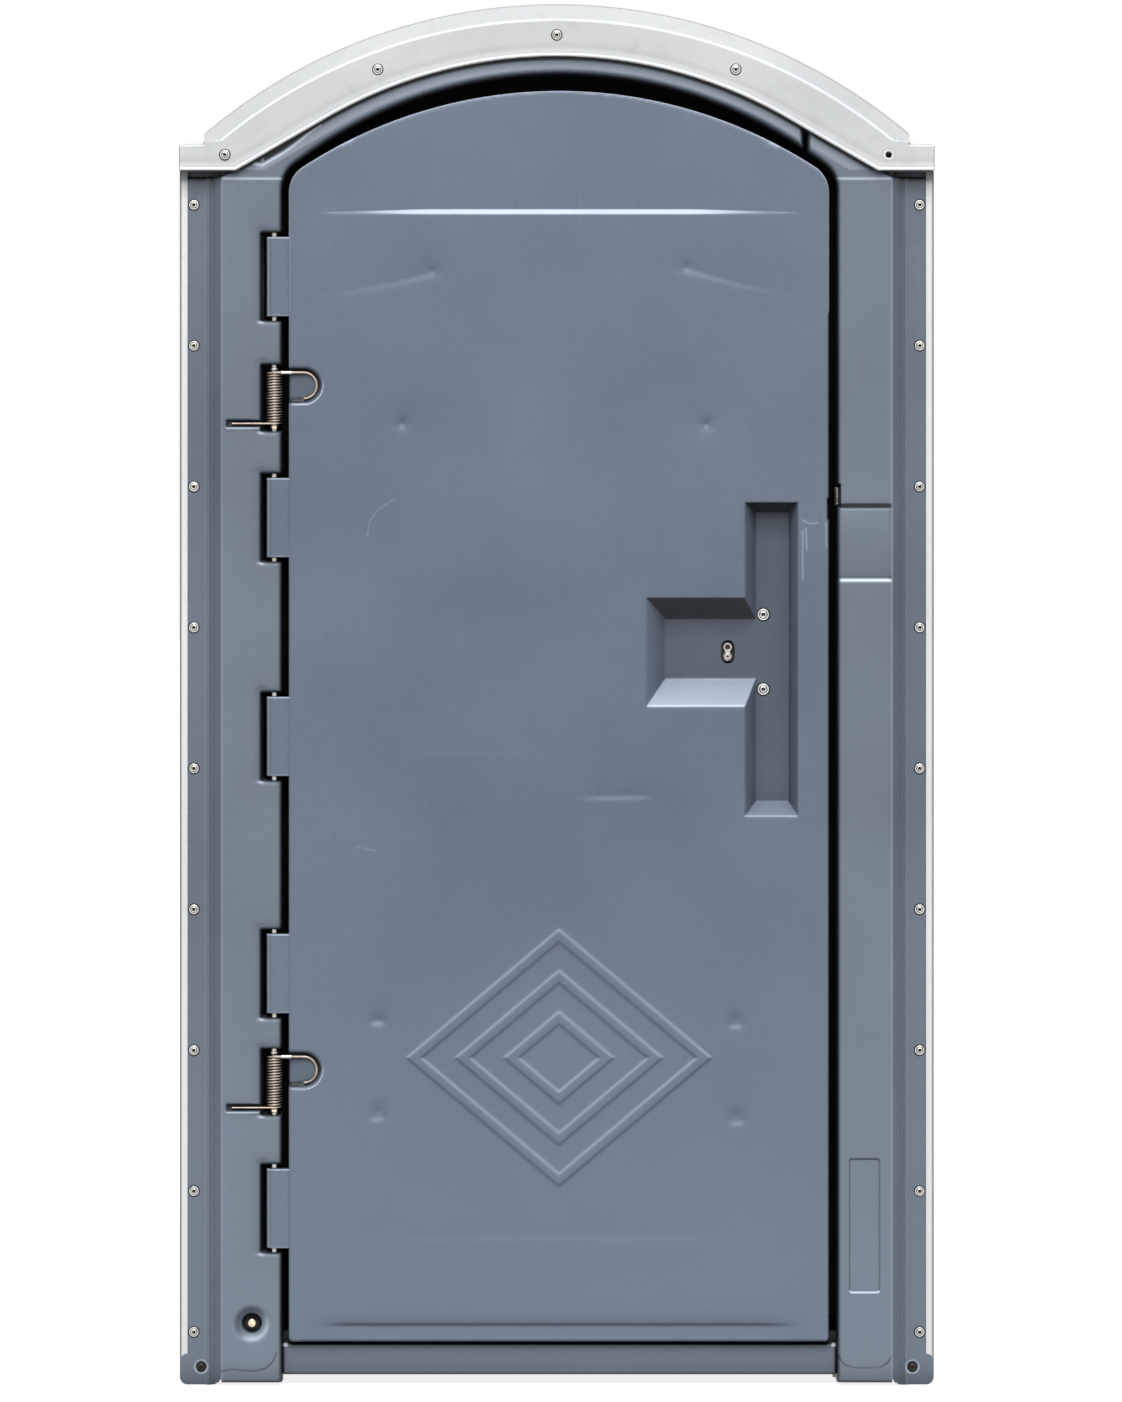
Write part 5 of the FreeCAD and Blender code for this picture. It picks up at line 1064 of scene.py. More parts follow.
def post_outline(x, z, way, inner):
    """A post with its foot and the header over the opening, on one side and from inner outwards."""
    side = way * x
    post = box_reach(side, z, inner, WALL_OUT, POST_FOOT, EAVE_LOW + 20)
    foot = box_reach(side, z, FOOT_IN, EAVE_X, 0, FOOT_TALL, FOOT_ROUND)
    gap = box_reach(side, z, FOOT_IN - FOOT_GAP, FOOT_IN, -20, POST_FOOT + 5, 1.5)
    head = np.maximum(bead_reach(x, z) - 8, -(z - POST_TOP + 150))
    head = np.maximum(head, np.abs(x) - HEAD_SIDE)
    whole = np.minimum(post, np.minimum(foot, head))
    return np.maximum(np.maximum(whole, -opening_reach(x, z)), -gap)


def left_outline(x, z):
    whole = np.maximum(post_outline(x, z, -1, -OPEN_LEFT - 60), -notch_reach(x, z))
    return np.maximum(whole, np.where(z > HEADER_LOW, x - SEAM[0], x))


def frame_face(x, z, from_edge, run):
    """The front of a post and the header."""
    y = FRONT + profile_height(from_edge, run, 1.4)
    under = np.maximum(POST_TOP - z, 4 - bead_reach(x, z))
    y += np.where(under > 0, edge_fall(under, 4.0), FLANGE - FRONT)
    y = np.minimum(y, FLANGE + 6)
    y += waves(x, z, 160, 0.10)
    y += edge_fall(opening_reach(x, z), 9.0)
    base = np.clip(z - POST_FOOT, 0, None)
    return y + np.where(from_edge > SLOPE[1] - 1, edge_fall(base, 5.0), 0)


def left_face(x, z):
    y = frame_face(x, z, x + WALL_OUT, POST_RUN) + notch_depth(x, z) + dish_depth(x, z)
    y += foot_relief(x, z, LEFT_SCREW, LEFT_CRACK)
    for low in COILS:
        edge = (z - (low - 7.0)) / 1.6
        y -= np.where((x > PIN_X - 73) & (x < PIN_X - 21), 1.1 * np.exp(-edge * edge), 0)
    return y + np.where(z > HEADER_LOW, edge_fall(SEAM[0] - x, 8.0), 0)


def right_outline(x, z):
    return np.maximum(post_outline(x, z, 1, OPEN_RIGHT - 60), SEAM[1] - x)


def panel_depth(x, z):
    """The shallow recess beside the latch, deepest along its upper and lower edges."""
    low, high = LATCH_PANEL
    inner = np.minimum(z - low, high - z)
    near = np.exp(-np.clip(inner, 0, 60) / 20)
    return 7 * rise(inner / 7, 1, 0.12) * (0.3 + 0.7 * near) * smooth((499 - x) / 9)


def staple_slot(x, z):
    """Distance from the slot for the lock's staple."""
    return box_reach(x, z, OPEN_RIGHT - 5, OPEN_RIGHT + 5, *STAPLE_SLOT, 1)


def plate_reach(x, z):
    """Distance from the bare recess low on the latch post."""
    return box_reach(x, z, *PLATE, 5)


def right_face(x, z):
    run = POST_RUN.copy()
    run[1:-1, 0] -= 1
    y = frame_face(x, z, WALL_OUT - x, run) + panel_depth(x, z)
    y = y + 1.7 * rise(-plate_reach(x, z), 1.4, 0.4) + 14 * rise(-staple_slot(x, z), 1.0, 0.4)
    y += foot_relief(x, z, RIGHT_SCREW, RIGHT_CRACK)
    return y + edge_fall(x - SEAM[1], 8.0)


# Painted shade and painted highlights along the latch panel's and the plate's edges, and painted shade in the
# staple slot.
def right_shade(x, z):
    low, high = LATCH_PANEL
    wide = band(x, OPEN_RIGHT + 4, 495, 4)
    total = frame_shade(x, z) + 0.9 * wide * band(z, high - 6.5, high - 0.5, 1.6)
    total -= 0.25 * wide * band(z, high - 10.5, high - 8, 1.6)
    total -= 0.95 * wide * band(z, low + 1.5, low + 5.5, 1.6)
    total += 0.35 * wide * band(z, low + 7.5, low + 9.5, 1.6)
    edge = band(plate_reach(x, z), -2.6, -0.4, 1.2)
    total += edge * np.where(z > PLATE[3] - 4, 0.75, np.where(z < PLATE[2] + 4, -0.95, 0.4))
    total = darker(total, 0.95 * smooth(0.5 - staple_slot(x, z) / 1.5))
    return total + foot_shade(x, z, RIGHT_SCREW, RIGHT_CRACK)


left_across = grid_lines(
    -EAVE_X - 1, 369, 6,
    [(-EAVE_X - 1, -EAVE_X + 14, 1.6), (-WALL_OUT - 2, -WALL_OUT + 33, 1.1),
     (-FOOT_IN - 24, -FOOT_IN + 7, 1.1), (-492, -474, 1.8), (-474, OPEN_LEFT + 11, 1.4), (-390, 350, 2.6),
     (350, 369, 1.1)],
)
left_spots = [(-1, 60, 1.1), (60, 124, 1.7), (HEADER_LOW, FRAME_TOP, 2.0)]
for low, high in NOTCH_SPANS[:len(KNUCKLES)]:
    left_spots += [(low - 5, low + 5, 1.3), (high - 5, high + 5, 1.3)]
for low in COILS:
    left_spots += [(low - 17, low + 8, 1.2), (low + COIL_TALL + 6, low + COIL_TALL + 18, 1.3)]
left_up = grid_lines(-1, FRAME_TOP, 7, left_spots)
left_form = moulding(left_outline, left_face, FRAME_BACK, left_across, left_up, left_shade)
new_piece("hinge_frame_moulding", left_form, "cabin", "frame_grey", ("hinge_side_frame",))

right_across = grid_lines(
    368, EAVE_X + 1, 5,
    [(368, 384, 1.1), (384, OPEN_RIGHT - 3, 1.8), (OPEN_RIGHT - 3, PLATE[0] - 2, 1.5),
     (PLATE[0] - 2, PLATE[0] + 4, 0.9), (PLATE[1] - 4, PLATE[1] + 3, 0.9), (492, 540, 1.1),
     (WALL_OUT - 2, WALL_OUT + 2, 1.0), (EAVE_X - 14, EAVE_X + 1, 1.6)],
)
right_up = grid_lines(
    -1, FRAME_TOP, 7,
    [(-1, 60, 1.1), (PLATE[2] - 3, PLATE[2] + 7, 0.8), (PLATE[3] - 7, PLATE[3] + 3, 0.8),
     (LATCH_PANEL[0] - 5, LATCH_PANEL[0] + 13, 1.0), (LATCH_PANEL[1] - 14.5, LATCH_PANEL[1] + 3.5, 1.0),
     (STAPLE_SLOT[1] - 5, STAPLE_SLOT[1] + 3, 1.0), (HEADER_LOW, 1960, 2.0)],
)
right_form = moulding(right_outline, right_face, FRAME_BACK, right_across, right_up, right_shade)
new_piece("latch_frame_moulding", right_form, "cabin", "frame_grey", ("latch_side_post",))


def stop_outline(x, z):
    outer = arch_reach(x, z, OPEN_LEFT - 1, OPEN_RIGHT + 1, 72, OPEN_CROWN + 1, OPEN_RADIUS, 50, 1)
    inner = arch_reach(x, z, LEAF_LEFT + 12, LEAF_RIGHT - 12, -300, LEAF_CROWN - 12, LEAF_RADIUS - 12, 35, 1)
    return np.maximum(outer, -inner)


def stop_face(x, z):
    return np.full_like(x, FRAME_BACK - 5)


stop_across = grid_lines(
    OPEN_LEFT - 3, OPEN_RIGHT + 3, 9,
    [(OPEN_LEFT - 3, OPEN_LEFT + 30, 4), (OPEN_RIGHT - 30, OPEN_RIGHT + 3, 4)],
)
stop_up = grid_lines(70, OPEN_CROWN + 3, 30, [(1720, OPEN_CROWN + 3, 4)])
# The stop lip is near black: painted shade in the gap round the door.
new_piece(
    "door_stop_lip", moulding(stop_outline, stop_face, FRAME_BACK, stop_across, stop_up),
    "cabin", "gap_shade_black", ("hinge_side_frame", "latch_side_post"),
)


def sill_outline(x, z):
    return box_reach(x, z, sill_low.x, sill_high.x, sill_low.z, sill_high.z, 2.5)


def sill_face(x, z):
    inside = -sill_outline(x, z)
    return sill_low.y + edge_fall(inside, 4.5) + 0.5 + waves(x, z, 90, 0.12)


def sill_shade(x, z):
    """Painted shade under the door and along the foot and ends, with a pale patch of painted highlight at
    each upper corner.
    """
    end = np.minimum(x - sill_low.x, sill_high.x - x)
    total = 0.6 * smooth((z - sill_high.z + 9) / 9) + 0.5 * smooth((sill_low.z + 3 - z) / 3)
    total += 0.4 * smooth(1 - end / 6)
    return total - 1.3 * smooth((9 - end) / 3) * smooth((z - sill_high.z + 6) / 3)


sill_across = grid_lines(
    sill_low.x - 1, sill_high.x + 1, 7,
    [(sill_low.x - 1, sill_low.x + 12, 1.2), (sill_high.x - 12, sill_high.x + 1, 1.2)],
)
sill_up = grid_lines(
    sill_low.z - 1, sill_high.z + 1, 3,
    [(sill_low.z - 1, sill_low.z + 6, 0.9), (sill_high.z - 10, sill_high.z + 1, 0.9)],
)
sill_form = moulding(sill_outline, sill_face, sill_high.y, sill_across, sill_up, sill_shade)
new_piece("door_sill_face", sill_form, "cabin", "base_grey", ("door_sill",))


# Walls, each moulded as if facing the camera and then turned: u runs along the wall

PANEL_TALL = (260.0, 1560.0)
PANEL_WIDE = 300.0
PANEL_PITCH = 340.0
PANEL_RELIEF = 5.0
PANEL_STARTS = [side_low.y + 60 + PANEL_PITCH * i for i in range(3)]
REAR_STARTS = [PANEL_PITCH * i - PANEL_WIDE / 2 for i in (-1, 0, 1)]
VENT_TALL = 10.0
VENT_STEP = 26.0
VENTS_HIGH = 1640.0
VENTS_LOW = 130.0
SIDE_VENTS = [(side_low.y + 60 + 144 * i, 90.0, z + VENT_STEP * level)
              for i in range(6) for z in (VENTS_HIGH, VENTS_LOW) for level in range(3)]
REAR_VENTS = [(start + 40, 220.0, VENTS_HIGH + VENT_STEP * level)
              for start in REAR_STARTS for level in range(3)]


def vent_reach(u, z, vents):
    """Distance from the nearest vent slot."""
    total = np.full(u.shape, 900.0)
    for start, wide, low in vents:
        total = np.minimum(total, box_reach(u, z, start, start + wide, low, low + VENT_TALL, 4.5))
    return total


def panel_reach(u, z, start):
    """Distance from a sunk field of a wall."""
    return box_reach(u, z, start, start + PANEL_WIDE, *PANEL_TALL, 16)


def wall_height(u, z, starts, vents):
    """The wall's sunk fields with pressed lines, and a hood over each vent slot."""
    total = waves(u, z, 170, 0.35)
    for start in starts:
        total += PANEL_RELIEF * rise(-panel_reach(u, z, start), 8, 2.5)
        for line in (start + 100, start + 200):
            pressed = box_reach(u, z, line - 4, line + 4, PANEL_TALL[0] + 60, PANEL_TALL[1] - 60, 4)
            total += 1.6 * rise(-pressed + 2.5, 6, 1.5)
    for start, wide, low in vents:
        hood = box_reach(u, z, start - 3, start + wide + 3, low + 8, low + 17, 4)
        total -= 2.6 * smooth(0.5 - hood / 6) * smooth((low + 20 - z) / 10)
    return total


def wall_shade(u, z, starts, vents):
    """Painted shade round the vent slots under the hoods and along the fields' upper edges, painted
    highlights along their lower ones.
    """
    total = np.zeros_like(u)
    tone = np.where(z > PANEL_TALL[1] - 16, 0.25, np.where(z < PANEL_TALL[0] + 16, -0.2, 0.08))
    for start in starts:
        total += tone * band(panel_reach(u, z, start), -9, 1, 3)
    return total + 0.8 * smooth(1 - vent_reach(u, z, vents) / 3.0)


def wall_across(start, end, starts, vents):
    """Grid lines along a wall, close together at its fields' edges, pressed lines and slot ends."""
    lines = [first + line for first in starts for line in (0, 100, 200, PANEL_WIDE)]
    spots = [(line - 11, line + 11, 2.4) for line in lines]
    ends = sorted({left for left, wide, low in vents} | {left + wide for left, wide, low in vents})
    return grid_lines(start, end, 13, spots + [(place - 5, place + 5, 1.7) for place in ends])


def wall_up(start, end, vents):
    """Grid lines up a wall, close together at its fields' ends and its slots."""
    spots = [(edge - 11, edge + 11, 2.4) for edge in PANEL_TALL]
    lows = sorted({low for left, wide, low in vents})
    return grid_lines(start, end, 13, spots + [(low - 3, low + 22, 1.7) for low in lows])


def turned(form, turn):
    """A moulding turned about the z axis by quarter turns."""
    points = form[0].copy()
    for _ in range(turn):
        points = np.stack([-points[:, 1], points[:, 0], points[:, 2]], axis=1)
    return points, form[1], form[2]


side_across = wall_across(side_low.y - 1, side_high.y + 1, PANEL_STARTS, SIDE_VENTS)
side_up = wall_up(side_low.z - 1, side_high.z + 1, SIDE_VENTS)


def side_wall(way):
    """A side wall before it is turned; way is -1 for the left one, whose u runs backwards."""

    def outline(u, z):
        whole = box_reach(way * u, z, side_low.y, side_high.y, side_low.z, side_high.z, 2)
        return np.maximum(whole, -vent_reach(way * u, z, SIDE_VENTS))

    def face(u, z):
        relief = wall_height(way * u, z, PANEL_STARTS, SIDE_VENTS)
        return -side_high.x + relief + edge_fall(-outline(u, z), 2.5)

    def shade(u, z):
        return wall_shade(way * u, z, PANEL_STARTS, SIDE_VENTS)

    across = side_across if way > 0 else -side_across[::-1]
    return moulding(outline, face, -side_low.x, across, side_up, shade, 0.0)


def rear_outline(u, z):
    radius = DOME_RADIUS - (roof_high.z - rear_high.z)
    whole = arch_reach(u, z, rear_low.x, rear_high.x, rear_low.z, rear_high.z, radius, 4, 2)
    return np.maximum(whole, -vent_reach(u, z, REAR_VENTS))


def rear_face(u, z):
    relief = wall_height(u, z, REAR_STARTS, REAR_VENTS)
    return -rear_high.y + relief + edge_fall(-rear_outline(u, z), 2.5)


def rear_shade(u, z):
    return wall_shade(u, z, REAR_STARTS, REAR_VENTS)


rear_across = wall_across(rear_low.x - 1, rear_high.x + 1, REAR_STARTS, REAR_VENTS)
rear_up = wall_up(rear_low.z - 1, rear_high.z + 1, REAR_VENTS)
rear_wall = moulding(rear_outline, rear_face, -rear_low.y, rear_across, rear_up, rear_shade, 0.0)
for name, form, turn in (
    ("right_wall", side_wall(1), 1), ("left_wall", side_wall(-1), 3), ("back_wall", rear_wall, 2),
):
    new_piece(name + "_moulding", turned(form, turn), "cabin", "wall_grey", (name,))


# Roof


DOME_SIDE = EAVE_X - 36


def dome_reach(x, z):
    """Distance from the vault's end outline: an arc on upright sides."""
    arc = disc_reach(x, z, 0, DOME_MIDDLE, DOME_RADIUS)
    return rounded_both(arc, np.abs(x) - DOME_SIDE, 6, DOME_SIDE / DOME_RADIUS)


def roof_outline(x, z):
    ears = box_reach(x, z, -EAVE_X, EAVE_X, EAVE_LOW, EAVE_HIGH, 6)
    corners = box_reach(x, z, -EAVE_X, EAVE_X, EAVE_LOW, EAVE_HIGH - 10, 2)
    whole = np.minimum(dome_reach(x, z), np.minimum(ears, corners))
    whole = np.maximum(whole, EAVE_LOW - z)
    return np.maximum(np.maximum(whole, -bead_reach(x, z)), -disc_reach(x, z, *LOST_HOLE, HOLE_RADIUS))


def roof_lines(x, z):
    """Distances over the roof's lower edge and in from the vault's end, a flat ear counting as far in."""
    foot = np.minimum(bead_reach(x, z), z - EAVE_LOW)
    ear = smooth((np.abs(x) - 468) / 18) * smooth((EAVE_HIGH + 5 - z) / 5)
    inside = -disc_reach(x, z, 0, DOME_MIDDLE, DOME_RADIUS) + 60 * ear
    return foot, inside


def ear_edge(x, z):
    """Distance in from an ear's outer and upper edges."""
    away = np.minimum(EAVE_X - np.abs(x), EAVE_HIGH - z)
    return np.where((np.abs(x) > EAVE_X - 38) & (z < EAVE_HIGH + 1), away, 60)


def roof_face(x, z):
    """The front of the roof: bead, flat band, crease and bevel."""
    foot, inside = roof_lines(x, z)
    bevel = CREASE * (1 - np.clip(inside / CREASE, 0, 1))
    bead = 2.6 * (1 - rise(foot - 4.2, 1.6, 0.8))
    hollow = 0.9 * np.exp(-((foot - 12) / 6) ** 2)
    y = ROOF_FACE + bevel - bead + hollow + waves(x, z, 120, 0.12)
    y = y + edge_fall(foot, 1.2) + edge_fall(ear_edge(x, z), 4)
    return np.maximum(y, roof_low.y)


def roof_shade(x, z):
    """Painted highlights on the bead, the crease, the ears' edges and round the lost hole; painted shade
    along the outline, the bead's lower edge and above it, the ears' rims and the bevel.
    """
    foot, inside = roof_lines(x, z)
    total = 0.17 * smooth((CREASE - inside) / 3) - 0.9 * band(inside, CREASE - 1.0, CREASE + 1.4, 1.8)
    total += 0.5 * smooth(1 - inside / 2.4)
    total = total - 0.7 * band(foot, 2.2, 4.6, 1.6) + 0.28 * band(foot, 6.0, 8.2, 1.6)
    total += 0.9 * smooth(1.1 - foot / 2.2)
    edge = ear_edge(x, z)
    total = total - 0.6 * band(edge, 2.0, 3.6, 1.6) + 0.5 * smooth(1 - edge / 1.8)
    hole = disc_reach(x, z, *LOST_HOLE, HOLE_RADIUS)
    return total - 0.7 * band(hole, 1.0, 3.2, 1.4) + 0.3 * band(hole, 4.0, 5.4, 1.4)


roof_across = grid_lines(-EAVE_X - 1, EAVE_X + 1, 2.1, [(-EAVE_X - 1, -500, 1.4), (480, EAVE_X + 1, 1.2)])
roof_up = grid_lines(
    EAVE_LOW - 1, roof_high.z + 1, 1.9, [(EAVE_LOW - 1, EAVE_LOW + 10, 1.1), (1830, 1842, 1.1)],
)
front_end = moulding(roof_outline, roof_face, ROOF_FACE + CREASE + 4, roof_across, roof_up, roof_shade)
rear_end = (front_end[0] * (1, -1, 1), [face[::-1] for face in front_end[1]], front_end[2])
SHELL = 4.0


def vault():
    """The vault and its eaves between the two ends, as a thick shell."""
    half = DOME_SIDE
    start = math.asin((half - 3) / DOME_RADIUS)
    turns = np.linspace(-start, start, 150)
    outer = [(DOME_RADIUS * math.sin(a), DOME_MIDDLE + DOME_RADIUS * math.cos(a)) for a in turns]
    left = [(-EAVE_X, EAVE_LOW), (-EAVE_X, EAVE_HIGH - 5), (-EAVE_X + 1.5, EAVE_HIGH - 1.5),
            (-EAVE_X + 5, EAVE_HIGH), (-half - 5, EAVE_HIGH), (-half - 1.5, EAVE_HIGH + 1.5),
            (-half, EAVE_HIGH + 5), (-half, outer[0][1] - 4)]
    right = [(-x, z) for x, z in left[::-1]]
    line = np.array(left + outer + right)
    step = np.gradient(line, axis=0)
    step /= np.linalg.norm(step, axis=1)[:, None]
    inner = line - SHELL * np.stack([-step[:, 1], step[:, 0]], axis=1)
    ring = np.concatenate([line, inner[::-1]])
    ys = np.linspace(ROOF_FACE + CREASE, -ROOF_FACE - CREASE, 60)
    points = np.array([(x, y, z) for y in ys for x, z in ring])
    size = len(ring)
    faces = []
    for i in range(len(ys) - 1):
        for j in range(size):
            k = (j + 1) % size
            faces.append([i * size + j, (i + 1) * size + j, (i + 1) * size + k, i * size + k])
    return points, faces


new_piece("roof_shell", joined(front_end, rear_end, vault()), "cabin", "roof_white", ("roof",), sharp=42)


# Rivets

RIVET_SIZE = 0.84
RIVET = [(0, -0.9), (2.0, -0.9), (2.6, -1.6), (2.8, -2.6), (3.3, -3.0), (4.4, -2.8), (5.4, -2.1), (5.9, -1.4),
         (6.5, -1.2), (7.4, -1.3), (8.2, -1.0), (8.5, -0.3), (8.5, 0.0)]
# Near-black disc and rings laid on each head: painted shade in the bore and the groove, and a painted shadow
# round the edge.
BORE_SHADE = [(0, -1.2), (1.8, -1.2), (2.6, -1.7)]
GROOVE_SHADE = [(5.7, -1.5), (6.2, -1.5), (6.7, -1.0)]
EDGE_SHADOW_RING = [(8.0, -0.9), (9.6, -0.8), (10.3, 0.0)]


def rivets(name, body, node, spots, size=RIVET_SIZE):
    """Rivet heads, with near-black discs and rings standing in for the shade in their bores, their grooves
    and round their edges.
    """
    head, *rings = [[(across * size, up) for across, up in ring] for ring in (RIVET, BORE_SHADE, GROOVE_SHADE, EDGE_SHADOW_RING)]
    heads = [lathe(head, spot, 28) for spot in spots]
    new_piece(name, joined(*heads), body, "rivet_aluminium", (node,))
    shade_rings = [lathe(ring, spot, 28) for spot in spots for ring in rings]
    new_piece(name + "_shade_rings", joined(*shade_rings), body, "dark_screw", (node,))


FRAME_RIVETS = (78.0, 1749.0)
FRAME_RIVET_X = 538.0
ROOF_RIVET_RADIUS = 713.0
HANDLE_RIVET_X = 306.7
HANDLE_RIVET_STEP = 55.5
heights = [FRAME_RIVETS[0] + (FRAME_RIVETS[1] - FRAME_RIVETS[0]) / 8 * i for i in range(9)]
for side, way in (("left", -1), ("right", 1)):
    rows = [(way * FRAME_RIVET_X, FLANGE, z) for z in heights]
    rivets(f"{side}_frame_rivet_heads", "cabin", f"{side}_frame_rivets", rows)
over = [(-LOST_HOLE[0], ROOF_FACE, LOST_HOLE[1])]
for turn in (math.radians(-21.8), 0, math.radians(21.8)):
    up = BEAD_MIDDLE + ROOF_RIVET_RADIUS * math.cos(turn)
    over.append((ROOF_RIVET_RADIUS * math.sin(turn), ROOF_FACE, up))
rivets("roof_rivet_heads", "cabin", "roof_rivets", over)
pair = [(HANDLE_RIVET_X, handle_back, LATCH_UP + step) for step in (HANDLE_RIVET_STEP, -HANDLE_RIVET_STEP)]
rivets("handle_rivet_heads", "door", "handle_rivets", pair, 1)


# Hinge springs


COIL_WIRE = 1.65
HOOK_WIRE = 2.1
COLLAR = [(4.9, 2.6), (6.0, 2.9), (6.4, 3.6), (6.4, 6.6), (6.0, 7.3), (4.9, 7.6)]
TIP = [(4.9, -8.6), (5.7, -7.0), (6.1, -4.4), (5.9, -3.1), (4.9, -2.8)]


def spring(low, name):
    """A hinge spring: its lower arm and coil as one piece on no body, and its hook riding on the door."""
    pitch, turns = COIL_TALL / 18, 18
    angles = np.linspace(0, 2 * math.pi * turns, 28 * turns + 1)
    slip = 0.9 * np.exp(-((angles / (2 * math.pi) - 8.5) / 0.5) ** 2)
    coil = np.stack([
        PIN_X + COIL_RADIUS * np.sin(angles) - slip,
        PIN_Y - COIL_RADIUS * np.cos(angles) - slip * 0.4,
        low + pitch * angles / (2 * math.pi),
    ], axis=1)
    y = PIN_Y - COIL_RADIUS
    arm = [(PIN_X - JAMB_ARM * (1 - t), y, low) for t in np.linspace(0, 0.985, 12)]
    wire = tube(np.concatenate([np.array(arm), coil]), COIL_WIRE)
    piece = new_piece(name + "_spring_coil", wire, None, "spring_wire", ("hinge_springs",), sharp=60)
    top = low + COIL_TALL
    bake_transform(piece)
    line = [(PIN_X + DOOR_ARM * t, y, top) for t in np.linspace(0, 1, 10)]
    for a in np.linspace(0, math.pi, 25)[1:]:
        line.append((PIN_X + DOOR_ARM + HOOK * math.sin(a), y, top - HOOK + HOOK * math.cos(a)))
    hook = tube(line, HOOK_WIRE)
    new_piece(name + "_spring_hook", hook, "door", "spring_wire", ("hinge_springs",), sharp=60)
    sleeve = tube([(PIN_X + across, y, top) for across in np.linspace(11, 26, 6)], 2.7, 14)
    collar = joined(upright(COLLAR, (PIN_X, PIN_Y, top), 28), sleeve)
    new_piece(name + "_spring_collar", collar, "door", "plated_steel", sharp=50)
    new_piece(name + "_spring_tip", upright(TIP, (PIN_X, PIN_Y, low), 24), "cabin", "brass", sharp=50)


spring(COILS[0], "lower")
spring(COILS[1], "upper")


# The latch's link behind its window, the screws and bolt of the posts, and the lock's staple

LINK_STEP = 7.0


def flat_plate(bounds, corner, front, soft, back, across, up):
    """A small flat plate with rounded corners and front edges."""

    def outline(x, z):
        return box_reach(x, z, *bounds, corner)

    def face(x, z):
        return front + edge_fall(-outline(x, z), soft)

    return moulding(outline, face, back, across, up)


def link_outline(x, z):
    """Two eyes joined by a neck."""
    across = WINDOW[0]
    upper = disc_reach(x, z, across, LATCH_UP + LINK_STEP, 7.4)
    lower = disc_reach(x, z, across, LATCH_UP - LINK_STEP, 7.4)
    neck = box_reach(x, z, across - 4.5, across + 4.5, LATCH_UP - 8, LATCH_UP + 8)
    eye = disc_reach(x, z, across, LATCH_UP + LINK_STEP, 3.0)
    return np.maximum(np.minimum(np.minimum(upper, lower), neck), -eye)


def link_face(x, z):
    return link_low.y + edge_fall(-link_outline(x, z), 1.6)


link_across = grid_lines(link_low.x - 1, link_high.x + 1, 0.7, [])
link_up = grid_lines(link_low.z - 1, link_high.z + 1, 0.7, [])
link_bounds = (link_low.x, link_high.x, link_low.z, link_high.z)
link_plate = flat_plate(link_bounds, 5, link_high.y - 2.4, 1.0, link_high.y, link_across, link_up)
new_piece("latch_link_plate", link_plate, "latch", "dark_screw", ("latch_link",))
STUD = [(0, -0.9), (1.2, -0.9), (1.7, -1.6), (3.6, -1.9), (4.9, -1.5), (5.3, -0.5), (5.3, 0)]
STUD_CORE = [(0, -1.6), (1.3, -1.5), (1.5, -0.8)]
stud_spot = (WINDOW[0], link_low.y, LATCH_UP - LINK_STEP)
link_eyes = moulding(link_outline, link_face, link_high.y - 2.0, link_across, link_up)
link_form = joined(link_eyes, lathe(STUD, stud_spot, 28))
new_piece("latch_link_eyes", link_form, "latch", "plated_steel", ("latch_link",))
stud_core = lathe(STUD_CORE, stud_spot, 14)
new_piece("latch_link_core", stud_core, "latch", "dark_screw", ("latch_link",))

SCREW = [(0, 0.4), (1.6, 0.4), (2.2, -1.0), (4.4, -1.0), (5.4, -0.4), (5.9, 0.6), (5.9, 1.8)]
screw_spots = [(x, (FLANGE + bolt_low.y) / 2 + 1, z) for x, z in (LEFT_SCREW, RIGHT_SCREW)]
for name, spot in zip(("left_foot_screw", "right_foot_screw"), screw_spots):
    new_piece(name + "_head", lathe(SCREW, spot, 28), "cabin", "dark_screw", (name,), sharp=50)

BOLT = [(0, -0.6), (2.1, -0.4), (2.9, 0.1), (3.6, -0.1), (5.0, 0.5), (6.3, 1.5), (6.9, 2.8), (6.9, 4.4)]
bolt_spot = ((bolt_low.x + bolt_high.x) / 2, bolt_low.y + 0.6, (bolt_low.z + bolt_high.z) / 2)
new_piece("post_bolt_head", lathe(BOLT, bolt_spot, 32), "cabin", "brass", ("post_bolt",), sharp=50)

staple_x = (staple_low.x + staple_high.x) / 2
staple_bounds = (staple_low.x + 0.6, staple_high.x - 0.4, staple_low.z + 0.5, staple_high.z - 0.5)
staple_across = grid_lines(*staple_bounds[:2], 0.8, [])
staple_up = grid_lines(*staple_bounds[2:], 0.9, [])
staple_plate = flat_plate(
    staple_bounds, 1.6, staple_low.y + 1.6, 0.7, staple_high.y, staple_across, staple_up,
)
new_piece("lock_staple_plate", staple_plate, "cabin", "dark_screw", ("lock_staple",))
STAPLE_STUD = [(0, -1.5), (1.1, -1.3), (1.7, -0.6), (1.8, 0)]
loop = [(staple_x, staple_low.y + 2.0 - 1.0 * math.sin(t), staple_low.z + 14 + 8.5 * math.cos(t))
        for t in np.linspace(0, math.pi, 13)]
studs = [lathe(STAPLE_STUD, (staple_x, staple_low.y + 1.6, z), 14)
         for z in (staple_low.z + 3.4, staple_low.z + 14, staple_high.z - 3.4)]
staple_loop = joined(tube(loop, 0.9, 8), *studs)
new_piece("lock_staple_loop", staple_loop, "cabin", "spring_wire", ("lock_staple",))


# Light, floor and camera

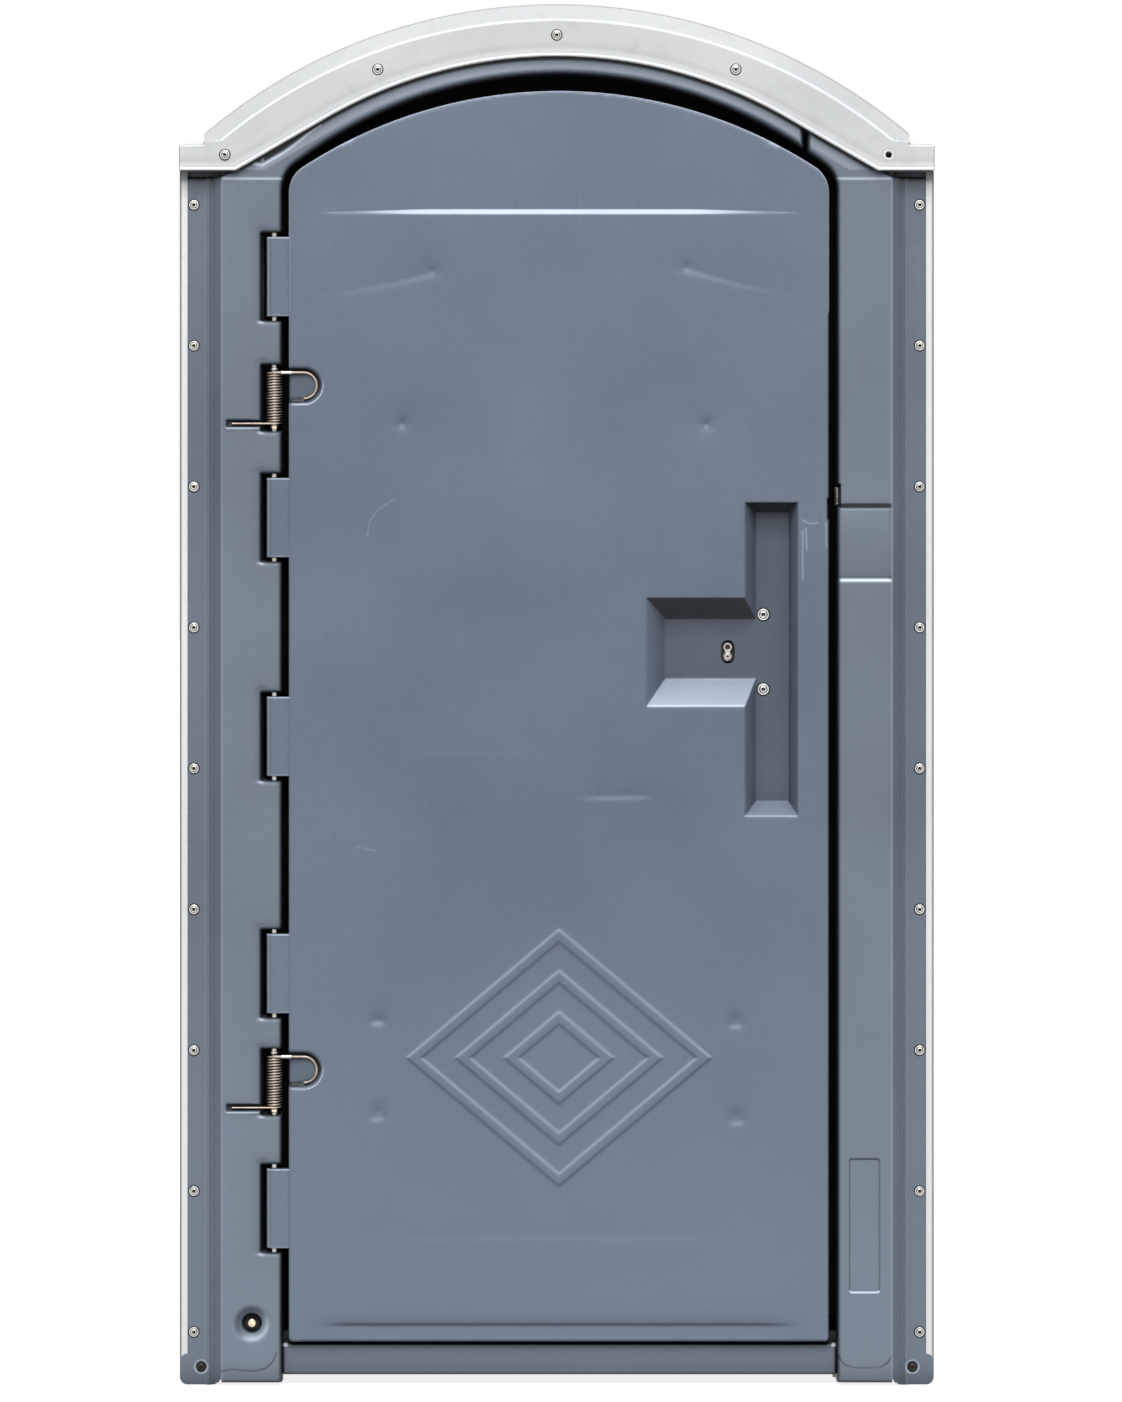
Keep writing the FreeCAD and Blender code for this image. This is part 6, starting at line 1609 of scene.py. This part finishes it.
FLOOR_TONES = ((0.53, 0.53, 0.53), (0.55, 0.55, 0.55))
NEAR_GLOW = 0.84
FLOOR_REACH = 60.0
PANELS = (
    ("front_panel", 18.0, 38.0, (10.0, 5.0), 1750, (1.0, 0.985, 0.965)),
    ("top_panel", 15.0, 58.0, (8.0, 4.0), 1360, (0.94, 0.97, 1.0)),
)
VIEW_DISTANCE = 8.0
VIEW_UP = 1.25
PICTURE_TALL = 2.075
PICTURE_MIDDLE = 1.0138
SENSOR = 36


def background_seen(tree):
    """1 for the rays that show the background: the camera's, and those that gloss or glass sends on."""
    path = tree.nodes.new("ShaderNodeLightPath")
    seen = combined(tree, "MAXIMUM", path.outputs["Is Camera Ray"], path.outputs["Is Glossy Ray"])
    return combined(tree, "MAXIMUM", seen, path.outputs["Is Transmission Ray"])


def studio():
    """A soft sky above, a white floor that keeps the shadow, and two broad lamps over the camera."""
    world = bpy.data.worlds.new("studio")
    bpy.context.scene.world = world
    world.use_nodes = True
    tree = world.node_tree
    tree.nodes.clear()
    out = tree.nodes.new("ShaderNodeOutputWorld")
    sky = tree.nodes.new("ShaderNodeBackground")
    white = tree.nodes.new("ShaderNodeBackground")
    white.inputs["Color"].default_value = (1, 1, 1, 1)
    coords = tree.nodes.new("ShaderNodeTexCoord").outputs["Generated"]
    parts = tree.nodes.new("ShaderNodeSeparateXYZ")
    link(tree, coords, parts.inputs[0])
    level = ranged(tree, parts.outputs["Z"], -0.05, 0.45, 0.02, 0.35)
    sky.inputs["Color"].default_value = (0.94, 0.97, 1.0, 1)
    link(tree, level, sky.inputs["Strength"])
    mix = tree.nodes.new("ShaderNodeMixShader")
    link(tree, background_seen(tree), mix.inputs[0])
    link(tree, sky.outputs[0], mix.inputs[1])
    link(tree, white.outputs[0], mix.inputs[2])
    link(tree, mix.outputs[0], out.inputs[0])

    made, tree, shader, coords = material("studio_floor")
    tree.nodes.remove(shader)
    out = tree.nodes["Material Output"]
    cloud = ranged(tree, noise(tree, coords, 2, 3), 0.3, 0.7)
    shaded = tree.nodes.new("ShaderNodeBsdfDiffuse")
    link(tree, mixed(tree, cloud, *FLOOR_TONES), shaded.inputs["Color"])
    away = tree.nodes.new("ShaderNodeVectorMath")
    away.operation = "LENGTH"
    link(tree, coords, away.inputs[0])
    glow = tree.nodes.new("ShaderNodeEmission")
    link(tree, ranged(tree, away.outputs["Value"], 0.9, 2.6, NEAR_GLOW, 1.0), glow.inputs["Strength"])
    shown = tree.nodes.new("ShaderNodeAddShader")
    link(tree, shaded.outputs[0], shown.inputs[0])
    link(tree, glow.outputs[0], shown.inputs[1])
    hidden = tree.nodes.new("ShaderNodeBsdfDiffuse")
    hidden.inputs["Color"].default_value = (0.22, 0.22, 0.22, 1)
    mix = tree.nodes.new("ShaderNodeMixShader")
    link(tree, background_seen(tree), mix.inputs[0])
    link(tree, hidden.outputs[0], mix.inputs[1])
    link(tree, shown.outputs[0], mix.inputs[2])
    link(tree, mix.outputs[0], out.inputs[0])
    mesh = bpy.data.meshes.new("studio_floor")
    corners = [(x * FLOOR_REACH, y * FLOOR_REACH, 0) for x, y in ((-1, -1), (1, -1), (1, 1), (-1, 1))]
    mesh.from_pydata(corners, [], [(0, 1, 2, 3)])
    mesh.materials.append(made)
    floor = bpy.data.objects.new("studio_floor", mesh)
    bpy.context.scene.collection.objects.link(floor)
    floor.location.z = -0.0005

    target = Vector((0, FRONT / 1000, 1.1))
    for name, distance, up, (wide, tall), power, tint in PANELS:
        lamp = bpy.data.lights.new(name, "AREA")
        lamp.shape = "RECTANGLE"
        lamp.size = wide
        lamp.size_y = tall
        lamp.energy = power
        lamp.color = tint
        panel = bpy.data.objects.new(name, lamp)
        bpy.context.scene.collection.objects.link(panel)
        turn = math.radians(up)
        panel.location = target + Vector((0, -distance * math.cos(turn), distance * math.sin(turn)))
        panel.rotation_euler = (target - panel.location).to_track_quat("-Z", "Y").to_euler()


def camera():
    """The photograph's view: square on, from afar, a little above the middle."""
    lens = bpy.data.cameras.new("camera")
    lens.sensor_width = SENSOR
    lens.lens = SENSOR * VIEW_DISTANCE / PICTURE_TALL
    lens.shift_x = 0.003
    lens.shift_y = (PICTURE_MIDDLE - VIEW_UP) / PICTURE_TALL
    lens.clip_end = 100
    view = bpy.data.objects.new("camera", lens)
    bpy.context.scene.collection.objects.link(view)
    view.location = (0, FRONT / 1000 - VIEW_DISTANCE, VIEW_UP)
    view.rotation_euler = (math.radians(90), 0, 0)
    bpy.context.scene.camera = view


studio()
camera()
bpy.context.scene.view_settings.view_transform = "Standard"
